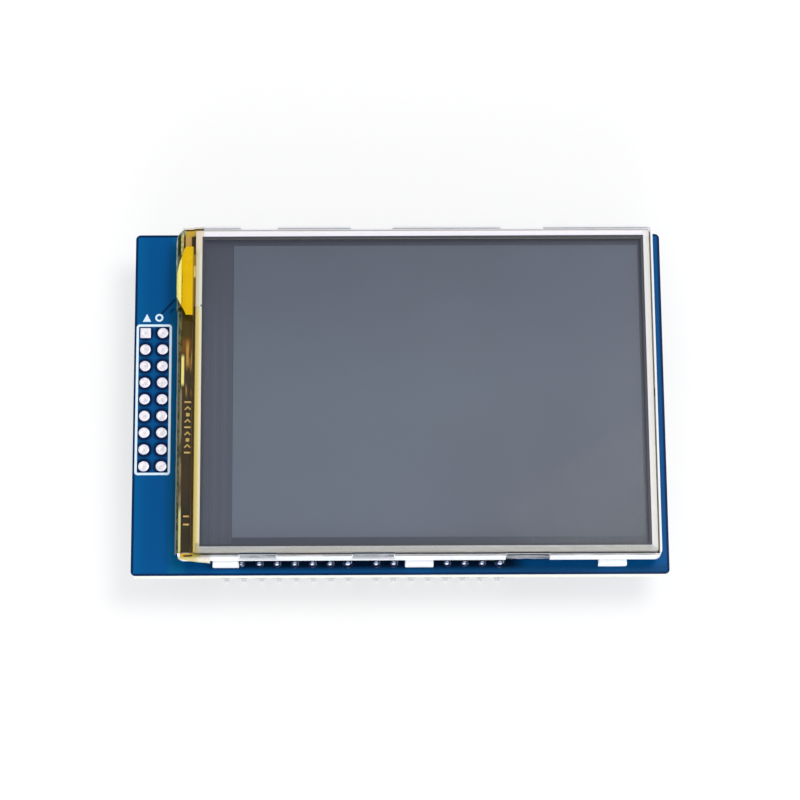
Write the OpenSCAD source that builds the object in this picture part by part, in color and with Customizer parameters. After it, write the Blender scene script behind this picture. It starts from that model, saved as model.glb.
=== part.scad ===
// Plug-on colour touch display board, lying on the tips of its header pins.
// Origin: middle of the board outline, at the pin tips. +X runs along the board's long side,
// +Y away from the edge with the long header row, +Z out through the touch film.

/* [Circuit board] */
// Board length, along X
board_w = 77.5; // [76:0.1:84]
// Header row to the board's front or rear edge
row_edge = 1.82; // [1.5:0.01:4]
// Board thickness
board_t = 1.6; // [1:0.1:2.4]
// Corner radius of the board
board_corner_r = 0.7; // [0.2:0.1:2]
// Thickness of the printed legend
legend_t = 0.03; // [0.02:0.01:0.1]
// Width of a printed legend line
legend_line = 0.35; // [0.2:0.05:0.6]

/* [Header strips] */
// Distance between neighbouring pins
pin_pitch = 2.54; // [2.5:0.01:2.6]
// Side of the square pin
pin_size = 0.64; // [0.5:0.02:0.8]
// Length of pin below the plastic strip
pin_free = 6; // [4:0.5:12]
// Length of pin above the board's front face
pin_tip = 1.4; // [1:0.1:1.9]
// Bevel on the pin ends
pin_bevel = 0.18; // [0.05:0.01:0.24]
// Height of the plastic strip
strip_h = 2.54; // [2.5:0.1:9]
// Width of the plastic strip
strip_w = 2.5; // [1.9:0.05:2.6]
// Bevel between two pin cells of a strip
strip_bevel = 0.5; // [0.2:0.05:0.7]
// Distance between the front and rear header rows
row_span = 48.26; // [48:0.01:48.6]
// X of the first pin in both rows
first_pin_x = -25.3; // [-26.5:0.1:-24.5]
// Distance from the last pin of the left front header to the first of the right one
front_gap = 4.06; // [3:0.02:7]
// Distance from the last pin of the left rear header to the first of the right one
rear_gap = 5.08; // [3:0.02:7]
// Bore of the plated holes
hole_d = 1; // [0.95:0.05:1.2]
// Diameter of a soldered land
land_d = 1.75; // [1.5:0.05:2]
// Height of a solder fillet above the board
fillet_h = 0.9; // [0.5:0.05:1]
// Thickness of the solder at the land's rim
land_t = 0.06; // [0.04:0.01:0.1]

/* [Expansion pads] */
// Rows of pads
pad_rows = 9; // [2:1:9]
// Columns of pads
pad_cols = 2; // [1:1:2]
// Pad diameter
pad_d = 1.6; // [1.3:0.05:1.9]
// Height of the solder on a pad
pad_rise = 0.08; // [0.04:0.01:0.2]
// Centre of the first column from the board's left edge
pad_edge = 1.62; // [1.4:0.02:2]
// Middle of the pad block in Y
pad_mid_y = 0.57; // [-3:0.01:3]
// Legend frame's outer edge beyond the outer pad centres
legend_margin = 1.32; // [1.2:0.02:1.6]
// Radius of the ring and size of the wedge printed above the frame
mark_r = 0.6; // [0.4:0.05:0.7]

/* [Foam mounting tape] */
// Thickness of the foam tape under the display
foam_h = 2; // [1.95:0.05:3]
// Width of one strip
foam_w = 3.95; // [2:0.05:4]
// Distance between strips
foam_pitch = 27.75; // [27.5:0.05:29]
// How far a strip's front end stands out of the display
foam_proud = 0.55; // [0.2:0.05:0.9]
// Clearance between the foam and a solder joint pressed into it
pocket_gap = 0.03; // [0.01:0.01:0.06]

/* [Backlight housing] */
// Housing length
display_w = 69.3; // [68.8:0.1:70]
// Housing depth
display_d = 50; // [49.6:0.1:50.2]
// Middle of the display in X
display_x = 2.7; // [2.4:0.1:3]
// Middle of the display in Y
display_y = 0.7; // [0.5:0.1:0.8]
// Corner radius of the housing
housing_corner_r = 0.9; // [0.3:0.1:1]
// Side walls of the housing
housing_wall = 1; // [0.8:0.05:1.05]
// Width of the step that carries the glass
step_w = 0.85; // [0.5:0.05:1.2]
// Height of the locating lip beside the touch panel
lip_h = 0.25; // [0.1:0.05:0.6]
// Thickness of the locating lip
lip_t = 0.3; // [0.15:0.05:0.3]
// Depth of the grip recesses in the long walls
grip_depth = 0.35; // [0.2:0.05:0.5]

/* [Backlight sheets] */
// Back reflector
reflector_t = 0.1; // [0.05:0.01:0.2]
// Light guide plate
guide_t = 0.66; // [0.5:0.02:1.5]
// Diffuser sheet
diffuser_t = 0.08; // [0.05:0.01:0.2]
// One prism sheet
prism_t = 0.08; // [0.05:0.01:0.2]
// Double-sided light shield tape
shield_t = 0.06; // [0.04:0.01:0.15]
// Visible border of the light shield tape
shield_w = 1.6; // [1.2:0.1:2.4]
// Length of the light strip
strip_len = 38; // [30:0.5:44]
// Length of one lamp
lamp_l = 3.8; // [2:0.1:5]
// Width of one lamp
lamp_w = 1.2; // [0.8:0.05:1.3]

/* [Liquid crystal cell] */
// One polariser sheet
polariser_t = 0.12; // [0.08:0.01:0.16]
// One sheet of cell glass
glass_t = 0.45; // [0.3:0.01:0.7]
// Clearance round the cell in the housing
cell_gap = 0.05; // [0.03:0.01:0.1]
// Bare ledge of the rear glass that carries the driver chip
ledge_w = 2.1; // [2.05:0.05:2.6]
// Driver chip length
chip_l = 20; // [12:0.5:24]
// Driver chip width
chip_w = 0.8; // [0.6:0.05:0.85]
// Driver chip height
chip_h = 0.5; // [0.4:0.01:0.5]

/* [Flex cables and tapes] */
// Thickness of the display's flex cable
flex_t = 0.12; // [0.08:0.01:0.16]
// Width of the display's flex cable
flex_w = 47.3; // [36:0.1:47.5]
// Width of its soldered tail
flex_tail_w = 30; // [20:0.5:34]
// How far the fold stands out of the housing's end
flex_overhang = 0.2; // [0.1:0.05:0.3]
// Overlap of the flex cable on the glass ledge
flex_bond = 1; // [0.8:0.05:1.05]
// Flat length of the flex cable under the housing
flex_under = 1.26; // [1:0.02:1.3]
// Length soldered to the board
flex_foot = 0.8; // [0.5:0.05:0.85]
// Thickness of the amber bond tape
bond_tape_t = 0.06; // [0.04:0.01:0.07]
// Thickness of the touch panel's tail
tail_t = 0.1; // [0.06:0.01:0.1]
// Width of the touch panel's tail
tail_w = 8; // [5:0.1:9]
// Middle of the touch panel's tail in Y
tail_y = 17; // [14:0.1:18]
// Clearance between the tail and the folded flex cable
tail_gap = 0.04; // [0.02:0.01:0.1]
// Thickness of the yellow holding tape
holding_tape_t = 0.08; // [0.05:0.01:0.1]
// Width of the yellow holding tape
holding_tape_w = 10.5; // [9.5:0.1:12]
// How far the holding tape bulges past the tail's bend
holding_bulge = 0.08; // [0.05:0.01:0.1]

/* [Touch panel] */
// Touch panel length
touch_w = 66.35; // [66:0.05:66.6]
// Touch panel depth
touch_d = 48.6; // [48:0.05:49]
// Middle of the touch panel in X
touch_x = 3.575; // [3.5:0.005:3.65]
// Middle of the touch panel in Y
touch_y = 0.4; // [0.2:0.05:0.6]
// Mounting tape between housing and touch panel
touch_tape_t = 0.2; // [0.1:0.02:0.4]
// Touch glass thickness
touch_glass_t = 0.85; // [0.7:0.05:1.8]
// Spacer ring between glass and film
spacer_t = 0.1; // [0.1:0.01:0.2]
// Border of the spacer ring
spacer_w = 1; // [0.8:0.05:1.3]
// Touch film thickness
touch_film_t = 0.18; // [0.1:0.01:0.3]
// Corner radius of the touch panel
touch_corner_r = 0.3; // [0.1:0.05:0.8]

/* [Parts on the back] */
// Card socket length, along X
socket_l = 15; // [14:0.1:16]
// Card socket width, along Y
socket_w = 14.6; // [14:0.1:16]
// Card socket height
socket_h = 1.9; // [1.7:0.05:2.2]
// Sheet metal of the card socket's shell
shell_t = 0.2; // [0.15:0.01:0.3]
// Floor of the card socket's base
socket_floor = 0.45; // [0.3:0.05:0.5]
// Middle of the card socket in Y
socket_y = -3; // [-10:0.5:8]
// Socket mouth from the board's right edge
socket_edge = 0.5; // [0:0.1:2]
// Rail on each side of the card slot
rail_w = 1; // [0.6:0.1:1.4]
// Rails end this far inside the mouth
rail_setback = 3; // [2:0.1:4]
// Base plate ends this far inside the mouth
base_setback = 0.4; // [0.2:0.1:1]
// Thickness of the slot's closed end
stop_l = 1.4; // [1:0.1:2]
// Length, width and place of the two spring cuts in the shell
spring_cut_l = 5.5; // [4:0.1:6]
spring_cut_w = 1.2; // [0.8:0.1:1.6]
spring_cut_x = 4; // [3:0.1:5]
spring_cut_y = 3.4; // [3:0.1:4]
// Distance between neighbouring contacts
contact_pitch = 1.1; // [1:0.02:1.3]
// Length of one contact
contact_l = 9; // [7:0.1:10]
// Width of one contact
contact_w = 0.6; // [0.4:0.05:0.8]
// Sheet thickness of a contact
contact_t = 0.12; // [0.08:0.01:0.15]
// Height that a contact rises towards the card
contact_lift = 0.55; // [0.3:0.05:0.7]
// Regulator case length
regulator_l = 6.5; // [6:0.1:7]
// Regulator case width
regulator_w = 3.5; // [3:0.1:4]
// Regulator case height
regulator_h = 1.6; // [1.4:0.05:1.8]
// Distance between the regulator's leads
regulator_pitch = 2.3; // [2.2:0.05:2.4]
// Width of a regulator lead
regulator_lead_w = 0.7; // [0.5:0.05:0.9]
// Width of the regulator's tab
regulator_tab_w = 3; // [2.6:0.1:3.2]
// How far the regulator's leads stand out of its case
regulator_reach = 1.75; // [1.5:0.05:2]
// Level shifter case length
shifter_l = 9.9; // [9.5:0.1:11]
// Level shifter case width
shifter_w = 3.9; // [3.5:0.1:5]
// Level shifter case height
shifter_h = 1.5; // [1.3:0.05:1.8]
// Level shifter lead pitch
shifter_pitch = 1.27; // [1.2:0.01:1.3]
// Width of a level shifter lead
shifter_lead_w = 0.42; // [0.35:0.01:0.5]
// How far the level shifter's leads stand out of its case
shifter_reach = 1.05; // [0.9:0.05:1.2]
// Sheet thickness of chip leads
lead_t = 0.2; // [0.15:0.01:0.25]
// Gap between a chip case and the board
standoff = 0.1; // [0.05:0.01:0.2]
// Tantalum capacitor length
tantalum_l = 3.5; // [3:0.1:6]
// Tantalum capacitor width
tantalum_w = 2.8; // [2.4:0.1:3.2]
// Tantalum capacitor height
tantalum_h = 1.9; // [1.6:0.1:2]
// Length of a tantalum capacitor's terminal under its case
terminal_l = 0.8; // [0.6:0.1:1]
// Width of a tantalum capacitor's terminal
terminal_w = 2.2; // [1.8:0.1:2.4]
// Sheet thickness of a tantalum capacitor's terminal
terminal_t = 0.1; // [0.05:0.01:0.15]
// Chip component length
chip_part_l = 2; // [1.6:0.05:2.4]
// Chip component width
chip_part_w = 1.25; // [0.8:0.05:1.4]
// Chip resistor height
resistor_h = 0.5; // [0.4:0.05:0.7]
// Chip capacitor height
capacitor_h = 0.85; // [0.7:0.05:1.2]
// Length of one metal end cap
cap_l = 0.4; // [0.3:0.05:0.5]

/* [Hidden] */
$fn = 48;
EPS = 0.01;

// Board depth, along Y
board_d = row_span + 2 * row_edge;

// Heights, from the pin tips upwards
z_strip = pin_free;
z_back = z_strip + strip_h;
z_board = z_back + board_t;
z_reflector = z_board + foam_h;
z_housing = z_reflector + reflector_t;
z_diffuser = z_housing + guide_t;
z_prism = z_diffuser + diffuser_t;
z_shield = z_prism + 2 * prism_t;
z_rear_pol = z_shield + shield_t;
z_rear_glass = z_rear_pol + polariser_t;
z_ledge = z_rear_glass + glass_t;
z_front_pol = z_ledge + glass_t;
z_rim = z_front_pol + polariser_t;
z_touch = z_rim + touch_tape_t;
z_spacer = z_touch + touch_glass_t;
z_film = z_spacer + spacer_t;
z_front = z_film + touch_film_t;

// Headers: [first pin x, number of pins], on the front and rear rows
front_y = -row_span / 2;
rear_y = row_span / 2;
front_left = [first_pin_x, 8];
front_right = [first_pin_x + 7 * pin_pitch + front_gap, 8];
rear_left = [first_pin_x, 6];
rear_right = [first_pin_x + 5 * pin_pitch + rear_gap, 8];

// Pads
pad_x0 = -board_w / 2 + pad_edge;
pad_y0 = pad_mid_y - (pad_rows - 1) * pin_pitch / 2;

// Housing outline
house_x0 = display_x - display_w / 2;
house_x1 = display_x + display_w / 2;
house_y0 = display_y - display_d / 2;
house_y1 = display_y + display_d / 2;

// Cell outline inside the housing
end_wall = housing_wall + 0.15;
cell_x0 = house_x0 + end_wall + cell_gap;
cell_x1 = house_x1 - housing_wall - cell_gap;
cell_y0 = house_y0 + housing_wall + cell_gap;
cell_y1 = house_y1 - housing_wall - cell_gap;
front_glass_x0 = cell_x0 + ledge_w;
pol_inset = 0.15;
front_pol_x0 = front_glass_x0 + pol_inset;

// Well for the light guide, below the step
well_x0 = cell_x0 + step_w;
well_x1 = cell_x1 - step_w;
well_y0 = cell_y0 + step_w;
well_y1 = cell_y1 - step_w;
sheet_gap = 0.05;
lamp_x0 = well_x0 + sheet_gap;
guide_x0 = lamp_x0 + lamp_w + sheet_gap;
film_x0 = guide_x0 + 3 * sheet_gap;

// Fold of the display's flex cable
fold_r = (z_ledge + flex_t - (z_reflector - flex_t)) / 2;
fold_x = house_x0 - flex_overhang + fold_r;
fold_z = z_reflector - flex_t + fold_r;
flex_y = display_y - 0.5;
s_bend_r = (z_reflector - z_board - flex_t) / 2;
bend_x = fold_x + flex_under;
notch_gap = 0.1;

// Amber bond tape over the ledge
chip_x0 = cell_x0 + flex_bond + 0.15;
tape_x0 = cell_x0 - 0.2;
tape_x1 = front_glass_x0 + 0.1;
z_tape_high = z_ledge + chip_h;
z_tape_low = z_ledge + flex_t;

// Touch panel outline
touch_x0 = touch_x - touch_w / 2;
touch_x1 = touch_x + touch_w / 2;
touch_y0 = touch_y - touch_d / 2;
touch_y1 = touch_y + touch_d / 2;
window_x0 = touch_x0 + spacer_w + 0.1;

// Tail of the touch panel
tail_r = fold_r + tail_gap + tail_t;
tail_x = fold_x - tail_r;
tail_top_r = 1.4;
tail_root = 0.7;
tail_lap = 0.7;

// ---------- shared shapes ----------

// A block between two corners
module block(low, high) {
    translate(low) cube(high - low);
}

// A flat plate with round corners
module plate(x0, y0, x1, y1, r, z, t) {
    translate([x0, y0, z]) linear_extrude(t) union() {
        translate([r, 0]) square([x1 - x0 - 2 * r, y1 - y0]);
        translate([0, r]) square([x1 - x0, y1 - y0 - 2 * r]);
        for (cx = [r, x1 - x0 - r], cy = [r, y1 - y0 - r])
            translate([cx, cy]) circle(r);
    }
}

// Stands a flat X-Z drawing up and draws it out along Y
module along_y(y0, y1) {
    translate([0, y1, 0]) rotate([90, 0, 0]) linear_extrude(y1 - y0) children();
}

// One quarter of a flat ring, in the quadrant given by the two signs
module quarter(cx, cz, outer, inner, sx, sz) {
    translate([cx, cz]) intersection() {
        difference() {
            circle(outer);
            circle(inner);
        }
        translate([sx > 0 ? 0 : -outer, sz > 0 ? 0 : -outer]) square(outer);
    }
}

// Children at every pin of a header
module at_pins(header, y) {
    for (i = [0 : header[1] - 1])
        translate([header[0] + i * pin_pitch, y, 0]) children();
}

// Children at every expansion pad: the first child on the first pad, the second on the others
module at_pads() {
    for (c = [0 : pad_cols - 1], r = [0 : pad_rows - 1])
        translate([pad_x0 + c * pin_pitch, pad_y0 + r * pin_pitch, z_board])
            if (c == 0 && r == pad_rows - 1) children(0);
            else children(1);
}

// ---------- circuit board ----------

module plated_hole() {
    translate([0, 0, z_back - EPS]) cylinder(d = hole_d, h = board_t + 2 * EPS);
}

module circuit_board() {
    color("steelblue") difference() {
        plate(-board_w / 2, -board_d / 2, board_w / 2, board_d / 2,
              board_corner_r, z_back, board_t);
        at_pins(front_left, front_y) plated_hole();
        at_pins(front_right, front_y) plated_hole();
        at_pins(rear_left, rear_y) plated_hole();
        at_pins(rear_right, rear_y) plated_hole();
        translate([0, 0, -z_board]) at_pads() {
            plated_hole();
            plated_hole();
        }
    }
}

// Frame round the pads, with a pin-one wedge and a ring above it
module legend() {
    x0 = pad_x0 - legend_margin;
    x1 = pad_x0 + (pad_cols - 1) * pin_pitch + legend_margin;
    y0 = pad_y0 - legend_margin;
    y1 = pad_y0 + (pad_rows - 1) * pin_pitch + legend_margin;
    corner = 1.4 * legend_line;
    color("white") {
        difference() {
            plate(x0, y0, x1, y1, corner, z_board, legend_t);
            plate(x0 + legend_line, y0 + legend_line, x1 - legend_line, y1 - legend_line,
                  corner - legend_line, z_board - EPS, legend_t + 2 * EPS);
        }
        translate([x0 + 2.5 * mark_r, y1 + 1.7 * mark_r, z_board]) linear_extrude(legend_t)
            polygon([[-mark_r, -mark_r], [mark_r, -mark_r], [0, mark_r]]);
        translate([x0 + 5.5 * mark_r, y1 + 1.7 * mark_r, z_board]) difference() {
            cylinder(r = mark_r, h = legend_t);
            translate([0, 0, -EPS]) cylinder(r = mark_r - 0.8 * legend_line, h = legend_t + 2 * EPS);
        }
    }
}

// Solder-filled plated holes: the first is square, the others are round
module expansion_pads() {
    color("silver") at_pads() {
        union() {
            translate([-pad_d / 2, -pad_d / 2, 0]) cube([pad_d, pad_d, pad_rise]);
            pad_fill();
        }
        union() {
            rotate_extrude() polygon([
                [0, 0], [pad_d / 2, 0], [pad_d / 2, pad_rise / 2],
                [0.42 * pad_d, pad_rise], [0.2 * pad_d, pad_rise], [0, 0.6 * pad_rise]
            ]);
            pad_fill();
        }
    }
}

module pad_fill() {
    translate([0, 0, -board_t]) cylinder(d = hole_d, h = board_t + pad_rise / 4);
    translate([0, 0, -board_t - pad_rise]) cylinder(d = pad_d, h = pad_rise);
}

// ---------- headers ----------

// Bevelled cell of the strip's outline, on one pin
module strip_cell() {
    a = pin_pitch / 2;
    b = strip_w / 2;
    polygon([
        [-a, -b + strip_bevel], [-a + strip_bevel, -b], [a - strip_bevel, -b],
        [a, -b + strip_bevel], [a, b - strip_bevel], [a - strip_bevel, b],
        [-a + strip_bevel, b], [-a, b - strip_bevel]
    ]);
}

module header_strip(header, y) {
    color("dimgray") difference() {
        translate([header[0], y, z_strip]) linear_extrude(strip_h) union()
            for (i = [0 : header[1] - 1]) translate([i * pin_pitch, 0]) strip_cell();
        at_pins(header, y) translate([-pin_size / 2, -pin_size / 2, z_strip - EPS])
            cube([pin_size, pin_size, strip_h + 2 * EPS]);
    }
}

// Square pin, bevelled on all four sides at both ends
module pin() {
    a = pin_size / 2;
    b = a - pin_bevel;
    top = z_board + pin_tip;
    profile = [
        [-a, 2 * pin_bevel], [-b, 0], [b, 0], [a, 2 * pin_bevel],
        [a, top - pin_bevel], [b, top], [-b, top], [-a, top - pin_bevel]
    ];
    intersection() {
        along_y(-a, a) polygon(profile);
        rotate([0, 0, 90]) along_y(-a, a) polygon(profile);
    }
}

module header_pins(header, y) {
    color("silver") at_pins(header, y) pin();
}

// Radius of a fillet at its foot and round the pin, and the height of its foot
foot_r = 0.34 * land_d;
neck_r = 0.27 * land_d;
foot_h = 0.3 * fillet_h;

// Barrel of solder in the hole, with a fillet up the pin's tip
module solder_joint() {
    color("silver") difference() {
        translate([0, 0, z_board]) rotate_extrude() polygon([
            [0, -board_t], [hole_d / 2, -board_t], [hole_d / 2, 0], [land_d / 2, 0],
            [land_d / 2, land_t], [foot_r, foot_h], [neck_r, fillet_h], [0, fillet_h]
        ]);
        translate([-pin_size / 2, -pin_size / 2, z_back - EPS])
            cube([pin_size, pin_size, board_t + fillet_h + 2 * EPS]);
    }
}

module front_left_strip() header_strip(front_left, front_y);
module front_right_strip() header_strip(front_right, front_y);
module rear_left_strip() header_strip(rear_left, rear_y);
module rear_right_strip() header_strip(rear_right, rear_y);
module front_left_pins() header_pins(front_left, front_y);
module front_right_pins() header_pins(front_right, front_y);
module rear_left_pins() header_pins(rear_left, rear_y);
module rear_right_pins() header_pins(rear_right, rear_y);

module front_solder() {
    at_pins(front_left, front_y) solder_joint();
    at_pins(front_right, front_y) solder_joint();
}

module rear_solder() {
    at_pins(rear_left, rear_y) solder_joint();
    at_pins(rear_right, rear_y) solder_joint();
}

// ---------- parts soldered to the back of the board ----------

// Children are drawn upwards from z = 0 and hung from the back of the board
module on_back(x, y, turn = 0) {
    translate([x, y, z_back]) rotate([180, 0, turn]) children();
}

// Children placed at the card socket, x from its closed end towards its mouth
module at_socket() {
    on_back(board_w / 2 - socket_edge - socket_l, socket_y) children();
}

slot_h = socket_h - shell_t - socket_floor;

module card_socket_base() {
    inner = socket_w / 2 - shell_t;
    color("dimgray") at_socket() {
        block([shell_t, -inner, 0], [socket_l - base_setback, inner, socket_floor]);
        for (s = [-1, 1]) translate([0, s * (inner - rail_w / 2), 0])
            block([shell_t, -rail_w / 2, 0],
                  [socket_l - rail_setback, rail_w / 2, socket_floor + slot_h]);
        block([shell_t, -inner, 0], [shell_t + stop_l, inner, socket_floor + slot_h]);
    }
}

module card_socket_shell() {
    color("silver") at_socket() difference() {
        block([0, -socket_w / 2, 0], [socket_l, socket_w / 2, socket_h]);
        block([shell_t, -socket_w / 2 + shell_t, -EPS],
              [socket_l + EPS, socket_w / 2 - shell_t, socket_h - shell_t]);
        for (s = [-1, 1]) translate([spring_cut_x, s * spring_cut_y, socket_h - shell_t - EPS])
            block([0, -spring_cut_w / 2, 0], [spring_cut_l, spring_cut_w / 2, shell_t + 2 * EPS]);
    }
}

// Eight spring strips that rise from the base towards the card
module card_socket_contacts() {
    t = contact_t;
    knee = 0.7 * contact_l;
    peak = 0.93 * contact_l;
    drop = 0.7 * contact_lift;
    color("gold") at_socket() for (i = [-3.5 : 3.5])
        translate([shell_t + stop_l, i * contact_pitch, socket_floor])
            along_y(-contact_w / 2, contact_w / 2) polygon([
                [0, 0], [knee, 0], [peak, contact_lift], [contact_l, drop],
                [contact_l, drop + t], [peak, contact_lift + t], [knee - t, t], [0, t]
            ]);
}

regulator_at = [21, 17];

module regulator_case() {
    color("dimgray") on_back(regulator_at.x, regulator_at.y)
        block([-regulator_l / 2, -regulator_w / 2, standoff],
              [regulator_l / 2, regulator_w / 2, standoff + regulator_h]);
}

// Gull-wing lead: foot on the board, riser, and root in the case's side, running out along +Y
module gull_lead(root_y, rise, reach, width) {
    along_x = width / 2;
    rotate([90, 0, 90]) translate([0, 0, -along_x]) linear_extrude(width) polygon([
        [root_y, rise], [root_y, rise + lead_t], [root_y + 0.3 * reach + lead_t, rise + lead_t],
        [root_y + 0.5 * reach + lead_t, lead_t], [root_y + reach, lead_t],
        [root_y + reach, 0], [root_y + 0.5 * reach, 0], [root_y + 0.3 * reach, rise]
    ]);
}

module regulator_leads() {
    root = regulator_w / 2;
    rise = 0.45 * regulator_h;
    color("silver") on_back(regulator_at.x, regulator_at.y) {
        for (i = [-1 : 1]) translate([i * regulator_pitch, 0, 0])
            gull_lead(root, rise, regulator_reach, regulator_lead_w);
        rotate([0, 0, 180]) gull_lead(root, rise, regulator_reach, regulator_tab_w);
    }
}

shifter_at = [[-8, 9], [-8, -9]];

module shifter_cases() {
    color("dimgray") for (p = shifter_at) on_back(p.x, p.y)
        block([-shifter_l / 2, -shifter_w / 2, standoff],
              [shifter_l / 2, shifter_w / 2, standoff + shifter_h]);
}

module shifter_leads() {
    color("silver") for (p = shifter_at) on_back(p.x, p.y)
        for (side = [0, 180], i = [-3.5 : 3.5])
            rotate([0, 0, side]) translate([i * shifter_pitch, 0, 0])
                gull_lead(shifter_w / 2, 0.45 * shifter_h, shifter_reach, shifter_lead_w);
}

tantalum_at = [[21, 9.5], [27.5, 17]];

module tantalum_capacitors() {
    color("goldenrod") for (p = tantalum_at) on_back(p.x, p.y, 90)
        block([-tantalum_l / 2 + terminal_t, -tantalum_w / 2, terminal_t],
              [tantalum_l / 2 - terminal_t, tantalum_w / 2, tantalum_h]);
}

module tantalum_terminals() {
    color("silver") for (p = tantalum_at) on_back(p.x, p.y, 90) for (s = [0, 180])
        rotate([0, 0, s]) union() {
            block([tantalum_l / 2 - terminal_l, -terminal_w / 2, 0],
                  [tantalum_l / 2, terminal_w / 2, terminal_t]);
            block([tantalum_l / 2 - terminal_t, -terminal_w / 2, 0],
                  [tantalum_l / 2, terminal_w / 2, tantalum_h / 2]);
        }
}

// Chip components, each [x, y, turn]
capacitor_at = [
    [-15, 9, 90], [-15, -9, 90], [-0.8, 9, 90], [-0.8, -9, 90], [15.5, 17, 90], [18, -14, 0]
];
resistor_at = [for (i = [0 : 3]) [5.5, 6 - 4 * i, 0], for (i = [0 : 3]) [10, 6 - 4 * i, 0]];

module chip_body(h) {
    block([-chip_part_l / 2 + cap_l, -chip_part_w / 2, 0],
          [chip_part_l / 2 - cap_l, chip_part_w / 2, h]);
}

module chip_caps(h) {
    for (s = [0, 180]) rotate([0, 0, s])
        block([chip_part_l / 2 - cap_l, -chip_part_w / 2, 0],
              [chip_part_l / 2, chip_part_w / 2, h]);
}

module chip_capacitors() {
    color("tan") for (p = capacitor_at) on_back(p[0], p[1], p[2]) chip_body(capacitor_h);
}

module chip_resistors() {
    color("dimgray") for (p = resistor_at) on_back(p[0], p[1], p[2]) chip_body(resistor_h);
}

module chip_end_caps() {
    color("silver") {
        for (p = capacitor_at) on_back(p[0], p[1], p[2]) chip_caps(capacitor_h);
        for (p = resistor_at) on_back(p[0], p[1], p[2]) chip_caps(resistor_h);
    }
}

// ---------- display ----------

// Room that a solder joint presses into the foam
module joint_pocket() {
    rim = land_d / 2 + pocket_gap;
    translate([0, 0, z_board]) rotate_extrude() polygon([
        [0, -EPS], [rim, -EPS], [rim, land_t + pocket_gap], [foot_r + pocket_gap, foot_h + pocket_gap],
        [foot_r + pocket_gap, pin_tip + pocket_gap], [0, pin_tip + pocket_gap]
    ]);
}

// Three strips of double-sided foam from the front to the rear of the display
module foam_tape() {
    color("whitesmoke") difference() {
        for (i = [-1 : 1]) translate([display_x + i * foam_pitch, 0, 0])
            block([-foam_w / 2, house_y0 - foam_proud, z_board],
                  [foam_w / 2, house_y1 - foam_proud, z_reflector]);
        at_pins(front_left, front_y) joint_pocket();
        at_pins(front_right, front_y) joint_pocket();
        at_pins(rear_left, rear_y) joint_pocket();
        at_pins(rear_right, rear_y) joint_pocket();
    }
}

module back_reflector() {
    inset = 0.4;
    color("gainsboro") block([cell_x0 - EPS, house_y0 + inset, z_reflector],
                             [house_x1 - inset, house_y1 - inset, z_housing]);
}

// Grip recesses in the long walls: [middle from the display's middle, length, sill height]
grips = [[-23.1, 5.4, 0.65], [-6.6, 6.1, 0.65], [15.5, 6.3, -EPS]];

// Housing: a frame with a step for the glass, a lip beside the touch panel, and one end
// lowered and notched for the flex cable and its tape
module backlight_housing() {
    flex_y0 = flex_y - flex_w / 2 - notch_gap;
    flex_y1 = flex_y + flex_w / 2 + notch_gap;
    notch_x = fold_x + 0.03;
    top = z_rim + lip_h;
    color("white") difference() {
        plate(house_x0, house_y0, house_x1, house_y1, housing_corner_r,
              z_housing, top - z_housing);
        block([cell_x0 - cell_gap, cell_y0 - cell_gap, z_shield],
              [cell_x1 + cell_gap, cell_y1 + cell_gap, top + 1]);
        block([well_x0, well_y0, z_housing - 1], [well_x1, well_y1, z_shield + EPS]);
        block([tape_x1, house_y0 + lip_t, z_rim], [house_x1 - lip_t, house_y1 - lip_t, top + 1]);
        block([house_x0 - 1, flex_y0, z_housing - 1], [notch_x, flex_y1, top + 1]);
        block([house_x0 - 1, flex_y0, z_ledge], [cell_x0 + flex_bond + notch_gap, flex_y1, top + 1]);
        along_y(house_y0 - 1, house_y1 + 1) polygon([
            [house_x0 - 1, z_tape_low], [cell_x0 + 0.65, z_tape_low],
            [chip_x0, z_tape_high], [tape_x1 + sheet_gap, z_tape_high],
            [tape_x1 + sheet_gap, top + 1], [house_x0 - 1, top + 1]
        ]);
        for (g = grips) {
            x0 = display_x + g[0] - g[1] / 2;
            block([x0, house_y0 - 1, z_housing + g[2]],
                  [x0 + g[1], house_y0 + grip_depth, top + 1]);
            block([x0, house_y1 - grip_depth, z_housing + g[2]],
                  [x0 + g[1], house_y1 + 1, top + 1]);
        }
    }
}

module light_guide() {
    color("honeydew") block([guide_x0, well_y0 + sheet_gap, z_housing],
                            [well_x1 - sheet_gap, well_y1 - sheet_gap, z_diffuser]);
}

lamp_n = 4;

module lamps() {
    step = strip_len / lamp_n;
    color("lightyellow") for (i = [0 : lamp_n - 1])
        translate([lamp_x0, display_y - strip_len / 2 + (i + 0.5) * step, z_housing])
            block([0, -lamp_l / 2, 0], [lamp_w, lamp_l / 2, guide_t]);
}

module lamp_strip() {
    color("peru") block([lamp_x0, display_y - strip_len / 2, z_diffuser],
                        [guide_x0 + sheet_gap, display_y + strip_len / 2, z_diffuser + flex_t]);
}

module film_sheet(z, t) {
    block([film_x0, well_y0 + sheet_gap, z], [well_x1 - sheet_gap, well_y1 - sheet_gap, z + t]);
}

module diffuser_sheet() color("white") film_sheet(z_diffuser, diffuser_t);
module lower_prism_sheet() color("lightgray") film_sheet(z_prism, prism_t);
module upper_prism_sheet() color("gainsboro") film_sheet(z_prism + prism_t, prism_t);

module light_shield_tape() {
    color("black") difference() {
        block([cell_x0, cell_y0, z_shield], [cell_x1, cell_y1, z_rear_pol]);
        block([film_x0 + shield_w, cell_y0 + shield_w, z_shield - 1],
              [cell_x1 - shield_w, cell_y1 - shield_w, z_rear_pol + 1]);
    }
}

module rear_polariser() {
    color("slategray") block([front_glass_x0, cell_y0 + pol_inset, z_rear_pol],
                             [cell_x1 - pol_inset, cell_y1 - pol_inset, z_rear_glass]);
}

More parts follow.
